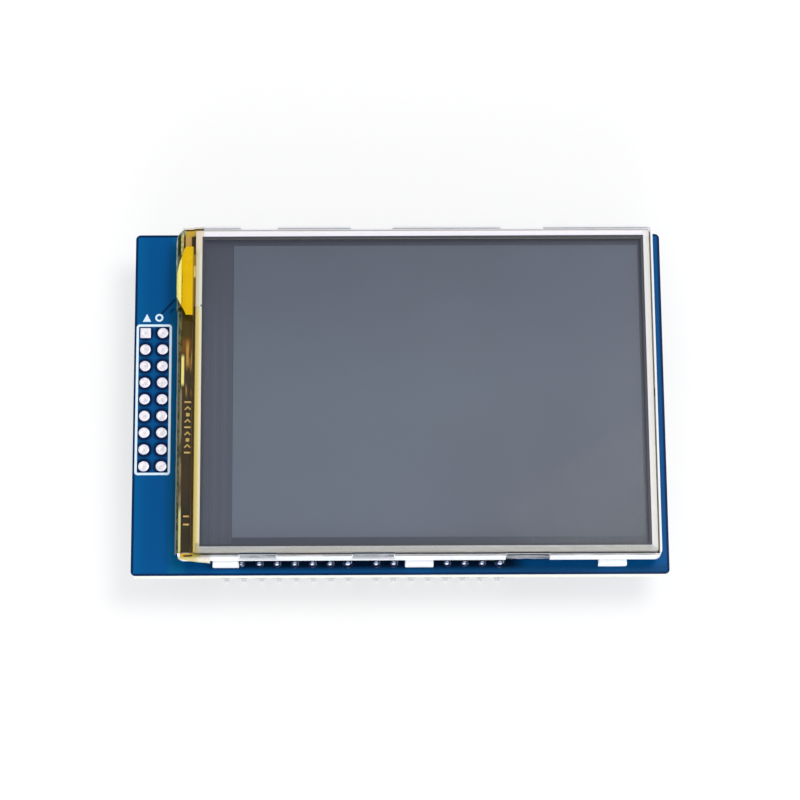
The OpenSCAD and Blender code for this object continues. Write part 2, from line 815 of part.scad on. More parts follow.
module rear_cell_glass() {
    color("lightblue") block([cell_x0, cell_y0, z_rear_glass], [cell_x1, cell_y1, z_ledge]);
}

module front_cell_glass() {
    color("lightblue") block([front_glass_x0, cell_y0, z_ledge], [cell_x1, cell_y1, z_front_pol]);
}

module front_polariser() {
    color("slategray") block([front_pol_x0, cell_y0 + pol_inset, z_front_pol],
                             [cell_x1 - pol_inset, cell_y1 - pol_inset, z_rim]);
}

module driver_chip() {
    color("dimgray") block([chip_x0, display_y - chip_l / 2, z_ledge],
                           [chip_x0 + chip_w, display_y + chip_l / 2, z_tape_high]);
}

// ---------- flex cables and tapes ----------

// From the glass ledge over the housing's end, back under it, and down to the board
module display_flex() {
    r0 = fold_r - flex_t;
    s0 = s_bend_r - flex_t / 2;
    s1 = s_bend_r + flex_t / 2;
    down_x = bend_x + 2 * s_bend_r;
    mid_z = z_reflector - flex_t / 2 - s_bend_r;
    color("saddlebrown") union() {
        along_y(flex_y - flex_w / 2, flex_y + flex_w / 2) {
            translate([fold_x, z_ledge]) square([cell_x0 + flex_bond - fold_x, flex_t]);
            quarter(fold_x, fold_z, fold_r, r0, -1, 1);
            quarter(fold_x, fold_z, fold_r, r0, -1, -1);
            translate([fold_x, z_reflector - flex_t]) square([flex_under, flex_t]);
        }
        along_y(flex_y - flex_tail_w / 2, flex_y + flex_tail_w / 2) {
            quarter(bend_x, mid_z, s1, s0, 1, 1);
            quarter(down_x, mid_z, s1, s0, -1, -1);
            translate([down_x, z_board]) square([flex_foot, flex_t]);
        }
    }
}

// Amber tape over the ledge, turned down over the housing's front and rear walls
module bond_tape() {
    t = bond_tape_t;
    slope_x = cell_x0 + 0.65;
    top_run = [
        [tape_x0, z_tape_low], [slope_x, z_tape_low], [chip_x0, z_tape_high],
        [tape_x1, z_tape_high], [tape_x1, z_tape_high + t], [chip_x0 - t, z_tape_high + t],
        [slope_x - t, z_tape_low + t], [tape_x0, z_tape_low + t]
    ];
    flap = [
        [tape_x0, z_tape_low + t], [slope_x - t, z_tape_low + t], [chip_x0 - t, z_tape_high + t],
        [tape_x1 + 0.8, z_tape_high + t], [tape_x1 + 0.8, z_housing - 0.7],
        [tape_x0, z_housing + 0.8]
    ];
    color("orange") union() {
        along_y(house_y0 - t, house_y1 + t) polygon(top_run);
        along_y(house_y0 - t, house_y0) polygon(flap);
        along_y(house_y1, house_y1 + t) polygon(flap);
    }
}

// Tail from between film and glass, over the edge, down past the fold and back under it
module touch_tail() {
    r1 = tail_r;
    r0 = tail_r - tail_t;
    top_z = z_spacer + tail_t - tail_top_r;
    color("darkgoldenrod") along_y(tail_y - tail_w / 2, tail_y + tail_w / 2) {
        translate([tail_x + tail_top_r, z_spacer])
            square([touch_x0 + tail_root - tail_x - tail_top_r, tail_t]);
        quarter(tail_x + tail_top_r, top_z, tail_top_r, tail_top_r - tail_t, -1, 1);
        translate([tail_x, fold_z]) square([tail_t, top_z - fold_z]);
        quarter(fold_x, fold_z, r1, r0, -1, -1);
        translate([fold_x, fold_z - r1]) square([tail_lap, tail_t]);
    }
}

// Tape over the tail: flat on top, bent down its side, with its outer corners cut away
module holding_tape() {
    t = holding_tape_t;
    r1 = tail_top_r + holding_bulge + t;
    x0 = tail_x - holding_bulge - t;
    base_z = z_spacer + tail_t + holding_bulge;
    root_x = touch_x0 - 0.03;
    mid_x = x0 + r1;
    mid_z = base_z + t - r1;
    skirt = 1.2;
    taper = 1;
    half = holding_tape_w / 2;
    apex_y = -0.45 * half;
    color("gold") intersection() {
        along_y(tail_y - half, tail_y + half) {
            translate([mid_x, base_z]) square([root_x - mid_x, t]);
            quarter(mid_x, mid_z, r1, r1 - t, -1, 1);
            translate([x0, mid_z - skirt]) square([t, skirt]);
        }
        translate([x0, tail_y, z_board]) linear_extrude(z_front) polygon([
            [root_x - x0, -half], [root_x - x0, half], [taper, half], [taper, 0.65 * half],
            [0, apex_y + 0.6], [0, apex_y - 0.6], [taper, -0.9 * half], [taper, -half]
        ]);
    }
}

// ---------- touch panel ----------

module touch_tape() {
    inset = 0.1;
    border = spacer_w;
    color("khaki") difference() {
        block([touch_x0 + inset, touch_y0 + inset, z_rim],
              [touch_x1 - inset, touch_y1 - inset, z_touch]);
        block([window_x0, touch_y0 + border, z_rim - 1],
              [touch_x1 - border, touch_y1 - border, z_touch + 1]);
    }
}

module touch_glass() {
    color("lightcyan") plate(touch_x0, touch_y0, touch_x1, touch_y1, touch_corner_r,
                             z_touch, touch_glass_t);
}

module touch_spacer() {
    color("lightgray") difference() {
        plate(touch_x0, touch_y0, touch_x1, touch_y1, touch_corner_r, z_spacer, spacer_t);
        block([window_x0, touch_y0 + spacer_w, z_spacer - 1],
              [touch_x1 - spacer_w, touch_y1 - spacer_w, z_spacer + 1]);
        block([touch_x0 - 1, tail_y - tail_w / 2, z_spacer - 1],
              [touch_x0 + tail_root, tail_y + tail_w / 2, z_spacer + 1]);
    }
}

module touch_film() {
    color("gray") plate(touch_x0, touch_y0, touch_x1, touch_y1, touch_corner_r,
                        z_film, touch_film_t);
}

// ---------- assembly ----------

circuit_board();
legend();
expansion_pads();
front_left_strip();
front_right_strip();
rear_left_strip();
rear_right_strip();
front_left_pins();
front_right_pins();
rear_left_pins();
rear_right_pins();
front_solder();
rear_solder();
card_socket_base();
card_socket_shell();
card_socket_contacts();
regulator_case();
regulator_leads();
shifter_cases();
shifter_leads();
tantalum_capacitors();
tantalum_terminals();
chip_capacitors();
chip_resistors();
chip_end_caps();
foam_tape();
back_reflector();
backlight_housing();
light_guide();
lamp_strip();
lamps();
diffuser_sheet();
lower_prism_sheet();
upper_prism_sheet();
light_shield_tape();
rear_polariser();
rear_cell_glass();
front_cell_glass();
front_polariser();
driver_chip();
display_flex();
bond_tape();
touch_tape();
touch_glass();
touch_spacer();
touch_film();
touch_tail();
holding_tape();
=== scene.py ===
import math
import random

import bmesh
import bpy
from mathutils import Matrix, Vector, noise


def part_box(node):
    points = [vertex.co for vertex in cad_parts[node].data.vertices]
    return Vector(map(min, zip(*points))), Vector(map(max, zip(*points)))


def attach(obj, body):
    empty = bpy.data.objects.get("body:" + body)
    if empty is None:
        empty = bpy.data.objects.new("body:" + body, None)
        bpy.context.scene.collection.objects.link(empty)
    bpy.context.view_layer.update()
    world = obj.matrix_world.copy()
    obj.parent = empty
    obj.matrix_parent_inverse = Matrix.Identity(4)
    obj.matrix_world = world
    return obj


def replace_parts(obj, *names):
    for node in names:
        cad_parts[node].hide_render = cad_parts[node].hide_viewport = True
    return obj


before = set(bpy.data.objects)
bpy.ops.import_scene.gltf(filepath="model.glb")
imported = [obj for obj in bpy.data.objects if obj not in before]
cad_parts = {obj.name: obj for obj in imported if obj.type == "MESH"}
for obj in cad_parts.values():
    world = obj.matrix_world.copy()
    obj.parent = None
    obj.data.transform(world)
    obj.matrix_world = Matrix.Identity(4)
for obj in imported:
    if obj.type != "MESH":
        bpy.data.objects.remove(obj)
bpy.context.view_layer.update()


# ---------------------------------------------------------------- camera
# The module lies flat on the tips of its header pins. It is seen from its front edge and
# nearly from overhead, through a long lens.
MM = 0.001


def box_mm(node):
    """The lowest and highest corners of a node of the frame, in millimetres."""
    low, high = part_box(node)
    return low / MM, high / MM


board_low, board_high = box_mm("circuit_board")
view_target = Vector((0.13, 0.33, board_high.z)) * MM
view_azimuth = math.radians(-2.7)
view_elevation = math.radians(73.1)
view_roll = math.radians(2.384)
view_distance = 481.55 * MM

towards_camera = Vector((
    math.sin(view_azimuth) * math.cos(view_elevation),
    -math.cos(view_azimuth) * math.cos(view_elevation),
    math.sin(view_elevation),
))
level = Vector((math.cos(view_azimuth), math.sin(view_azimuth), 0))
lift = towards_camera.cross(level)
picture_right = level * math.cos(view_roll) + lift * math.sin(view_roll)
picture_up = lift * math.cos(view_roll) - level * math.sin(view_roll)

lens = bpy.data.cameras.new("camera")
lens.sensor_width = 36
lens.lens = 148.43
lens.clip_start = 10 * MM
lens.clip_end = 20
camera = bpy.data.objects.new("camera", lens)
bpy.context.scene.collection.objects.link(camera)
turn = Matrix((picture_right, picture_up, towards_camera)).transposed()
place = Matrix.Translation(view_target + towards_camera * view_distance)
camera.matrix_world = place @ turn.to_4x4()
bpy.context.scene.camera = camera
bpy.context.scene.view_settings.view_transform = "Standard"


# ---------------------------------------------------------------- studio and table
# A white table under a pale studio: its walls are brighter than its ceiling. One wide lamp
# hangs behind and to the right of the module, and a weaker one stands in front of it.


def srgb(red, green, blue):
    """A colour given in the 0 to 255 values of a screen, as the renderer's linear values."""
    shares = [value / 255 for value in (red, green, blue)]
    return tuple(s / 12.92 if s < 0.04045 else ((s + 0.055) / 1.055) ** 2.4 for s in shares)


def set_input(socket, value):
    """Sets an input of a node from a plain value, a colour, a field or another node's socket."""
    value = getattr(value, "socket", value)
    if isinstance(value, bpy.types.NodeSocket):
        socket.id_data.links.new(value, socket)
    else:
        socket.default_value = (*value, 1) if socket.type == "RGBA" else value


def add_node(tree, kind, inputs=None, **settings):
    """A node with its settings and inputs."""
    node = tree.nodes.new(kind)
    for name, value in settings.items():
        setattr(node, name, value)
    for name, value in (inputs or {}).items():
        set_input(node.inputs[name], value)
    return node


def mix(share, first, second):
    """The colour between two others, as share goes from 0 to 1."""
    tree = getattr(share, "socket", share).id_data
    inputs = {0: share, 6: first, 7: second}
    return add_node(tree, "ShaderNodeMix", inputs, data_type="RGBA").outputs[2]


world = bpy.data.worlds.new("studio")
world.use_nodes = True
bpy.context.scene.world = world
room = world.node_tree
background = room.nodes["Background"]
direction = add_node(room, "ShaderNodeTexCoord").outputs["Generated"]
height = add_node(room, "ShaderNodeMapRange", {
    "Value": add_node(room, "ShaderNodeSeparateXYZ", {0: direction}).outputs["Z"],
    "From Min": 0.05,
    "From Max": 0.75,
})
wall_light = (1.02, 1.03, 1.05)
ceiling_light = (0.45, 0.46, 0.48)
room_light = mix(height.outputs["Result"], wall_light, ceiling_light)
seen = add_node(room, "ShaderNodeLightPath").outputs["Is Camera Ray"]
set_input(background.inputs["Color"], mix(seen, room_light, (1, 1, 1)))
background.inputs["Strength"].default_value = 1


def add_lamp(name, place, size, level_at_object, colour):
    """A square lamp that faces the module and lights a surface that faces it to the level given."""
    lamp = bpy.data.lights.new(name, "AREA")
    lamp.shape = "SQUARE"
    lamp.size = size
    lamp.color = colour
    distance = place.length
    lamp.energy = level_at_object * math.pi ** 2 * distance ** 2
    holder = bpy.data.objects.new(name, lamp)
    holder.location = place
    holder.rotation_euler = (-place).to_track_quat("-Z", "Y").to_euler()
    bpy.context.scene.collection.objects.link(holder)


add_lamp("rear_lamp", Vector((0.26, 0.14, 0.8)), 0.32, 0.42, (1.0, 0.99, 0.97))
add_lamp("front_lamp", Vector((0.0, -0.8, 0.35)), 0.5, 0.44, (0.98, 0.99, 1.0))

table_half = 3.0
table_mesh = bpy.data.meshes.new("table")
corners = [(-1, -1), (1, -1), (1, 1), (-1, 1)]
table_corners = [(x * table_half, y * table_half, 0) for x, y in corners]
table_mesh.from_pydata(table_corners, [], [(0, 1, 2, 3)])
table = bpy.data.objects.new("table", table_mesh)
bpy.context.scene.collection.objects.link(table)
table_paint = bpy.data.materials.new("table_paint")
table_paint.use_nodes = True
tree = table_paint.node_tree
table_surface = tree.nodes["Principled BSDF"]
table_surface.inputs["Roughness"].default_value = 0.7
table_surface.inputs["Specular IOR Level"].default_value = 0.2
rays = add_node(tree, "ShaderNodeLightPath")
seen_rays = {0: rays.outputs["Is Camera Ray"], 1: rays.outputs["Is Glossy Ray"]}
seen_white = add_node(tree, "ShaderNodeMath", seen_rays, operation="MAXIMUM").outputs[0]
set_input(table_surface.inputs["Base Color"], mix(seen_white, (0.86, 0.87, 0.88), (1, 1, 1)))
backdrop = add_node(tree, "ShaderNodeEmission", {"Strength": 1.0})
backdrop_share = add_node(tree, "ShaderNodeMath", {0: seen_white, 1: 0.62}, operation="MULTIPLY")
table_mix = add_node(tree, "ShaderNodeMixShader", {
    0: backdrop_share.outputs[0],
    1: table_surface.outputs[0],
    2: backdrop.outputs[0],
})
set_input(tree.nodes["Material Output"].inputs["Surface"], table_mix.outputs[0])
table_mesh.materials.append(table_paint)


# ---------------------------------------------------------------- circuit board
# Glass-fibre board, 1.6 mm thick, under a blue solder mask. The copper under the mask stops
# short of the outline and of every pad, and the mask looks darker there. Its edges are bare.


def new_finish(name, inputs):
    """A material, its node tree and its surface shader, with the shader's plain inputs set."""
    finish = bpy.data.materials.new(name)
    finish.use_nodes = True
    surface = finish.node_tree.nodes["Principled BSDF"]
    for socket, value in inputs.items():
        surface.inputs[socket].default_value = value
    return finish, finish.node_tree, surface


def plug(surface, name, value):
    """Feeds an input of a surface shader from a field or a colour."""
    set_input(surface.inputs[name], value)


class Field:
    """A number at each point of a surface: a node's socket that takes plain arithmetic."""

    def __init__(self, socket):
        self.socket = socket

    def __add__(self, other):
        return field_step("ADD", self, other)

    def __sub__(self, other):
        return field_step("SUBTRACT", self, other)

    def __rsub__(self, other):
        return field_step("SUBTRACT", other, self)

    def __mul__(self, other):
        return field_step("MULTIPLY", self, other)

    def __truediv__(self, other):
        return field_step("DIVIDE", self, other)

    def __pow__(self, other):
        return field_step("POWER", self, other)

    def __abs__(self):
        return field_step("ABSOLUTE", self)


def field_step(operation, first, second=0.0):
    """The field that one step of arithmetic gives, where one of the two values is a field."""
    tree = (first if isinstance(first, Field) else second).socket.id_data
    node = add_node(tree, "ShaderNodeMath", {0: first, 1: second}, operation=operation)
    return Field(node.outputs[0])


def higher(first, second):
    """The field of the higher of two values."""
    return field_step("MAXIMUM", first, second)


def lower(first, second):
    """The field of the lower of two values."""
    return field_step("MINIMUM", first, second)


def distance(across, along):
    """The field of the straight distance that two lengths at a right angle give."""
    return field_step("SQRT", across ** 2 + along ** 2)


def place_axes(tree):
    """The fields of x, y and z, in millimetres, of the point being shaded."""
    place = add_node(tree, "ShaderNodeTexCoord").outputs["Object"]
    axes = add_node(tree, "ShaderNodeSeparateXYZ", {0: place})
    return [Field(axes.outputs[axis]) / MM for axis in "XYZ"]


def fade(value, low, high, curve="SMOOTHSTEP"):
    """The field that goes from 0, where the value is low, to 1, where it is high."""
    ends = {"Value": value, "From Min": low, "From Max": high}
    node = add_node(value.socket.id_data, "ShaderNodeMapRange", ends, interpolation_type=curve)
    return Field(node.outputs["Result"])


def band(value, low, high, soft):
    """The field that is 1 between two values and fades to 0 outside them."""
    return fade(value, low - soft, low + soft) - fade(value, high - soft, high + soft)


def grain(tree, size, detail=2.0, stretch=(1, 1, 1)):
    """The field of a cloudy pattern with lumps of a size in millimetres."""
    place = add_node(tree, "ShaderNodeTexCoord").outputs["Object"]
    spread = add_node(tree, "ShaderNodeMapping", {"Vector": place, "Scale": stretch})
    inputs = {"Vector": spread.outputs[0], "Scale": 1 / (size * MM), "Detail": detail}
    return Field(add_node(tree, "ShaderNodeTexNoise", inputs).outputs["Fac"])


def emboss(surface, height, depth):
    """Raises the surface where the height is 1, by a depth in millimetres."""
    bump = add_node(surface.id_data, "ShaderNodeBump", {"Height": height, "Distance": depth * MM})
    plug(surface, "Normal", bump.outputs["Normal"])


def facing_up(tree):
    """The field that is 1 on level faces, whichever way up, and 0 on upright ones."""
    normal = add_node(tree, "ShaderNodeTexCoord").outputs["Normal"]
    slope = Field(add_node(tree, "ShaderNodeSeparateXYZ", {0: normal}).outputs["Z"])
    return fade(abs(slope), 0.6, 0.75)


def edge_distance(tree, low, high):
    """The field of the distance in from the nearest side of a rectangle, seen from above."""
    x, y, _ = place_axes(tree)
    return lower(lower(x - low[0], high[0] - x), lower(y - low[1], high[1] - y))


def row_distance(value, first, count):
    """The field of the distance from the nearest of a row of points, one pin pitch apart."""
    steps = field_step("ROUND", (value - first) / pitch)
    steps = lower(higher(steps, 0.0), count - 1)
    return value - first - steps * pitch


def dress(node, finish, edge=0.0, rounds=2):
    """Gives a node of the frame its finish, and rounds its sharp edges to a radius."""
    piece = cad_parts[node]
    for index in range(len(piece.data.materials)):
        piece.data.materials[index] = finish
    if edge:
        joined = piece.modifiers.new("joined", "WELD")
        joined.merge_threshold = 0.001 * MM
        rounded = piece.modifiers.new("rounded", "BEVEL")
        rounded.width = edge * MM
        rounded.segments = rounds
        rounded.limit_method = "ANGLE"
        rounded.angle_limit = math.radians(35)
        rounded.harden_normals = True
    return piece


def add_piece(name, vertices, faces, finish, slot, crease=40):
    """A mesh given in millimetres, fixed to the module, smooth but for creases above an angle."""
    mesh = bpy.data.meshes.new(name)
    mesh.from_pydata([(x * MM, y * MM, z * MM) for x, y, z in vertices], [], faces)
    mesh.validate()
    shape = bmesh.new()
    shape.from_mesh(mesh)
    bmesh.ops.recalc_face_normals(shape, faces=shape.faces)
    shape.to_mesh(mesh)
    shape.free()
    mesh.materials.append(finish)
    mesh.polygons.foreach_set("use_smooth", [True] * len(mesh.polygons))
    mesh.set_sharp_from_angle(angle=math.radians(crease))
    piece = bpy.data.objects.new(name, mesh)
    bpy.context.scene.collection.objects.link(piece)
    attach(piece, "root")
    return piece


pitch = 2.54
pad_radius = 0.8
pad_low = box_mm("expansion_pads")[0]
pad_first = (pad_low.x + pad_radius, pad_low.y + pad_radius)

mask, tree, surface = new_finish("board_mask", {"Roughness": 0.34, "Specular IOR Level": 0.05})
x, y, z = place_axes(tree)
mask_colour = mix(grain(tree, 9, 3, (1, 0.35, 1)), srgb(0, 76, 136), srgb(0, 84, 142))
# The mask is paler along the board's left edge.
paler_left_edge = 1 - fade(x, -38.7, -36.2)
mask_colour = mix(paler_left_edge * 0.8, mask_colour, srgb(0, 92, 148))
# Painted shadow: the strip of board in front of the display is darkened, where the display shades it.
front_strip = 1 - fade(y, -24.9, -24.3)
on_front = fade(z, 9.6, 9.8)
wall_shadow_share = front_strip * fade(x, -34, 20) * on_front
mask_colour = mix(wall_shadow_share * 0.58, mask_colour, srgb(0, 58, 98))
# Painted light: the strip of board left of the display is lightened against the shadow the display
# casts there.
light_beside_display = band(x, -33.3, -31.0, 0.4) * on_front
mask_colour = mix(light_beside_display * 0.8, mask_colour, srgb(6, 98, 146))
# Two fine dark lines run slantwise from the flex to the legend box.
for low_end, reach, shade in (((-34.84, 13.67), 3.05, 0.85), ((-33.55, 13.85), 0.9, 0.7)):
    step_x = x - low_end[0]
    step_y = y - low_end[1]
    along_line = step_x * 0.66 + step_y * 0.75
    off_line = abs(step_x * 0.75 - step_y * 0.66)
    slant_line = band(along_line, 0.0, reach, 0.15) * (1 - fade(off_line, 0.08, 0.22))
    slant_line = slant_line * on_front * shade
    mask_colour = mix(slant_line, mask_colour, srgb(0, 28, 62))
bare_blue = srgb(0, 40, 84)
margin = fade(edge_distance(tree, board_low, board_high), 0.3, 0.42)
mask_colour = mix(margin, bare_blue, mask_colour)
pad_across = row_distance(x, pad_first[0], 2)
pad_along = row_distance(y, pad_first[1], 9)
pad_gap = distance(pad_across, pad_along)
ring = fade(pad_gap, 0.95, 1.55)
mask_colour = mix(ring, srgb(0, 26, 66), mask_colour)
# Painted shade: the mask along the header rows under the display is darkened, where the display shades
# the board.
row_gap = abs(y) - 24.13
beside_row = 1 - fade(abs(row_gap), 0.35, 1.3)
under_display = band(x, -27.4, 17.2, 1.6) * on_front
row_shade = beside_row * under_display
mask_colour = mix(row_shade * 0.92, mask_colour, srgb(0, 12, 34))
glass_fibre = mix(grain(tree, 0.35, 3, (1, 1, 6)), srgb(244, 243, 234), srgb(226, 228, 216))
plug(surface, "Base Color", mix(facing_up(tree), glass_fibre, mask_colour))
emboss(surface, grain(tree, 0.6, 3), 0.006)
dress("circuit_board", mask, 0.08)


# ---------------------------------------------------------------- copper tracks and vias
# The copper is etched 0.03 mm high, and the mask lies over it, so the tracks show as fine
# ridges of a paler blue. A via is a small plated hole, and the mask covers it too.


def track(points, width, base, height):
    """A raised strip along a line of (x, y) points, with sloped sides, from a base up or down."""
    count = len(points)
    sides = []
    for index, (px, py) in enumerate(points):
        before = Vector(points[max(index - 1, 0)])
        after = Vector(points[min(index + 1, count - 1)])
        here = Vector((px, py))
        first = (here - before).normalized() if index else (after - here).normalized()
        last = (after - here).normalized() if index < count - 1 else first
        mean = (first + last).normalized()
        across = Vector((-mean.y, mean.x)) / max(0.35, mean.dot(first))
        sides.append((here, across))
    vertices = []
    slope = abs(height)
    for here, across in sides:
        for reach, z_value in ((width / 2, base), (width / 2 - slope, base + height),
                               (slope - width / 2, base + height), (-width / 2, base)):
            point = here + across * reach
            vertices.append((point.x, point.y, z_value))
    faces = [(0, 1, 2, 3)]
    for index in range(count - 1):
        a = 4 * index
        faces += [(a + k, a + 4 + k, a + 5 + k, a + 1 + k) for k in range(3)]
        faces.append((a + 3, a + 7, a + 4, a))
    last = 4 * (count - 1)
    faces.append((last + 3, last + 2, last + 1, last))
    if height < 0:
        faces = [tuple(reversed(face)) for face in faces]
    return vertices, faces


def joined(parts):
    """Several lists of vertices and faces as one."""
    vertices = []
    faces = []
    for some_vertices, some_faces in parts:
        start = len(vertices)
        vertices += some_vertices
        faces += [tuple(start + corner for corner in face) for face in some_faces]
    return vertices, faces


def turned(profile, centre, segments=32, shape=None):
    """A ring-shaped or solid body from (radius, z) points, turned round an upright axis."""
    vertices = []
    faces = []
    rings = []
    for radius, z_value in profile:
        if radius == 0:
            rings.append([len(vertices)])
            vertices.append((centre[0], centre[1], z_value))
            continue
        ring = []
        for k in range(segments):
            angle = 2 * math.pi * k / segments
            reach = (radius * math.cos(angle), radius * math.sin(angle))
            if shape:
                reach = shape(radius, z_value, angle)
            ring.append(len(vertices))
            vertices.append((centre[0] + reach[0], centre[1] + reach[1], z_value))
        rings.append(ring)
    for lower, upper in zip(rings, rings[1:]):
        for k in range(segments):
            after = (k + 1) % segments
            if len(lower) == 1:
                faces.append((lower[0], upper[k], upper[after]))
            elif len(upper) == 1:
                faces.append((lower[k], upper[0], lower[after]))
            else:
                faces.append((lower[k], upper[k], upper[after], lower[after]))
    if len(rings[0]) > 1 and len(rings[-1]) > 1:
        for k in range(segments):
            after = (k + 1) % segments
            faces.append((rings[-1][k], rings[0][k], rings[0][after], rings[-1][after]))
    elif len(rings[0]) > 1 or len(rings[-1]) > 1:
        faces.append(tuple(max(rings[0], rings[-1], key=len)))
    return vertices, faces


def bent_track(start, end, turn_at):
    """A track from start to end with 45 degree corners, the first at a share of the way."""
    (x0, y0), (x1, y1) = start, end
    dx = x1 - x0
    dy = y1 - y0
    if abs(dx) > abs(dy):
        free = (abs(dx) - abs(dy)) * math.copysign(1, dx)
        knee = x0 + free * turn_at
        return [start, (knee, y0), (knee + math.copysign(abs(dy), dx), y1), end]
    free = (abs(dy) - abs(dx)) * math.copysign(1, dy)
    knee = y0 + free * turn_at
    return [start, (x0, knee), (x1, knee + math.copysign(abs(dx), dy)), end]


def two_tone(name, inputs, cloud, first, second, depth=0.0, relief=None):
    """A finish clouded with two tones, and embossed to a depth. cloud and relief are grains."""
    finish, tree, surface = new_finish(name, inputs)
    plug(surface, "Base Color", mix(grain(tree, *cloud), srgb(*first), srgb(*second)))
    if relief:
        emboss(surface, grain(tree, *relief), depth)
    return finish


back_z = board_low.z
front_z = board_high.z
copper_rise = 0.03
raised_mask = two_tone("mask_over_copper", {
    "Roughness": 0.3,
    "Specular IOR Level": 0.32,
    "Coat Weight": 0.1,
    "Coat Roughness": 0.1,
}, (3,), (14, 98, 152), (24, 112, 162), 0.004, (0.5, 3))

front_row_y = -24.13
rear_row_y = 24.13
pin_groups = (  # the first pin, the number of pins and the row
    (-25.3, 8, front_row_y), (-3.46, 8, front_row_y),
    (-25.3, 6, rear_row_y), (-7.52, 8, rear_row_y),
)
pins_front, pins_rear = (
    [first + pitch * k for first, count, place in pin_groups if place == row_y for k in range(count)]
    for row_y in (front_row_y, rear_row_y)
)


def lane_track(pin_x, side, lane, leg_x):
    """A track from a pin to a chip's leg by a lane along the board, with its corners cut."""
    lane_y = side * (21.8 - 0.62 * lane)
    cut = 0.45
    return [(pin_x, side * 23.03), (pin_x, lane_y + side * cut), (pin_x - cut, lane_y),
            (leg_x + cut, lane_y), (leg_x, lane_y - side * cut), (leg_x, side * 12.6)]


runs = []
for k in range(8):
    leg_x = -12.445 + pitch / 2 * k
    if k < 7:
        runs.append((lane_track(pins_rear[6 + k], 1, k, leg_x), 0.25))
    runs.append((lane_track(pins_front[8 + k], -1, k, leg_x), 0.25))
    lane_y = 0.4 * k - 0.2
    runs.append(([(leg_x, 5.4), (leg_x, lane_y + 0.6), (leg_x + 0.6, lane_y), (4.2, lane_y)], 0.2))
bus_vias = [(-20 + 1.0 * k, -3.5) for k in range(4)]
for k, via in enumerate(bus_vias):
    runs.append((bent_track((pins_front[1 + k], front_row_y + 1.1), via, 0.35 + 0.08 * k), 0.3))
pad_rows = [pad_first[1] + pitch * k for k in range(9)]
pad_vias = [(-22 - 0.8 * (k % 3), row_y * 0.62) for k, row_y in enumerate(pad_rows)]
for row_y, via in zip(pad_rows, pad_vias):
    runs.append((bent_track((-33.7, row_y), via, 0.3), 0.25))
for k in range(4):
    runs.append((bent_track((11.4, 6 - 4 * k), (22.4, 1.2 - 1.1 * k), 0.5), 0.25))
runs.append(([(17.6, 19.3), (13.2, 19.3), (10.26, 22.24), (10.26, 23.0)], 0.8))
runs.append(([(24.4, 17), (26, 17)], 1.2))
runs.append(([(21, 14.6), (21, 11.4)], 1.0))
strips = [track(points, width, back_z, -copper_rise) for points, width in runs]

random.seed(11)
via_places = bus_vias + pad_vias + [(4.2, 2.6 - 0.4 * k) for k in (0, 2, 4, 6)]
for k in range(16):
    via_x = random.uniform(-20, 20)
    via_y = random.choice((-19.5, -17.5, 20.2, 0.2))
    via_places.append((via_x, via_y + random.uniform(-0.8, 0.8)))
via_profile = [(0, back_z - 0.012), (0.17, back_z - 0.02), (0.27, back_z - 0.035),
               (0.4, back_z - 0.025), (0.42, back_z)]
strips += [turned(via_profile, place, 14) for place in via_places]
add_piece("copper_tracks", *joined(strips), raised_mask, "board_mask", 30)


# ---------------------------------------------------------------- legend
# Matt white ink, screen-printed on the mask: on the front a frame round the expansion pads
# with two small marks, on the back an outline round each part.
ink = two_tone("legend_ink", {"Roughness": 0.62, "Specular IOR Level": 0.3}, (0.5, 4),
               (214, 238, 255), (228, 244, 255), 0.008, (0.12, 3))
dress("legend", ink)
ink_rise = 0.02


def outline(middle, size, gap, line=0.15):
    """A closed frame of ink round a part on the back of the board."""
    a = size[0] / 2 + gap
    b = size[1] / 2 + gap
    x0, y0 = middle
    corners = [(x0 - a, y0 - b), (x0 + a, y0 - b), (x0 + a, y0 + b), (x0 - a, y0 + b)]
    sides = []
    for index in range(4):
        start = Vector(corners[index])
        end = Vector(corners[(index + 1) % 4])
        along = (end - start).normalized() * line / 2
        sides.append(track([tuple(start - along), tuple(end + along)], line, back_z, -ink_rise))
    return sides


dot_profile = [(0, back_z - ink_rise), (0.25, back_z - ink_rise), (0.27, back_z)]
ink_marks = []
for x_mid, y_mid in ((-8, 9), (-8, -9)):
    ink_marks += outline((x_mid, y_mid), (10.6, 3.9), 0.0)
    ink_marks.append(turned(dot_profile, (x_mid - 5.9, y_mid + 2.5), 14))
ink_marks += outline((21, 17), (3.9, 6.9), 0.1)
ink_marks += outline((21, 9.5), (3.5, 2.8), 0.55)
ink_marks += outline((27.5, 17), (2.8, 3.5), 0.55)
for first, count, row_y in pin_groups:
    length = pitch * (count - 1)
    ink_marks += outline((first + length / 2, row_y), (length + pitch, pitch), 0.12)
legend_low, legend_high = box_mm("legend")
ink_marks += outline(((legend_low.x + legend_high.x) / 2, pad_rows[4]), (4.8, 22.6), 0.0, 0.2)
for k in range(3):
    bar_x = 31.5 + 1.2 * k
    ink_marks.append(track([(bar_x, 22.9), (bar_x, 21.6)], 0.3, back_z, -ink_rise))
add_piece("rear_legend", *joined(ink_marks), ink, "legend_ink", 30)


# ---------------------------------------------------------------- expansion pads
# Eighteen plated holes filled level with solder. Each face is a smooth dish with a raised
# rim, and the first one is square.
tin, tree, surface = new_finish("solder", {"Metallic": 0.16, "Roughness": 0.34})
tin_colour = mix(grain(tree, 0.5, 3), srgb(250, 246, 255), srgb(236, 232, 242))
mottle = fade(grain(tree, 0.42, 3), 0.5, 0.68)
tin_colour = mix(mottle * 0.6, tin_colour, srgb(196, 200, 220))
x, y, _ = place_axes(tree)
dish_x = row_distance(x, pad_first[0], 2)
dish_y = row_distance(y, pad_first[1], 9)
dish_gap = distance(dish_x, dish_y)
dish = 1 - fade(dish_gap, 0.12, 0.3)
tin_colour = mix(dish * 0.7, tin_colour, srgb(222, 212, 204))
plug(surface, "Base Color", tin_colour)
emboss(surface, grain(tree, 0.25, 2), 0.012)

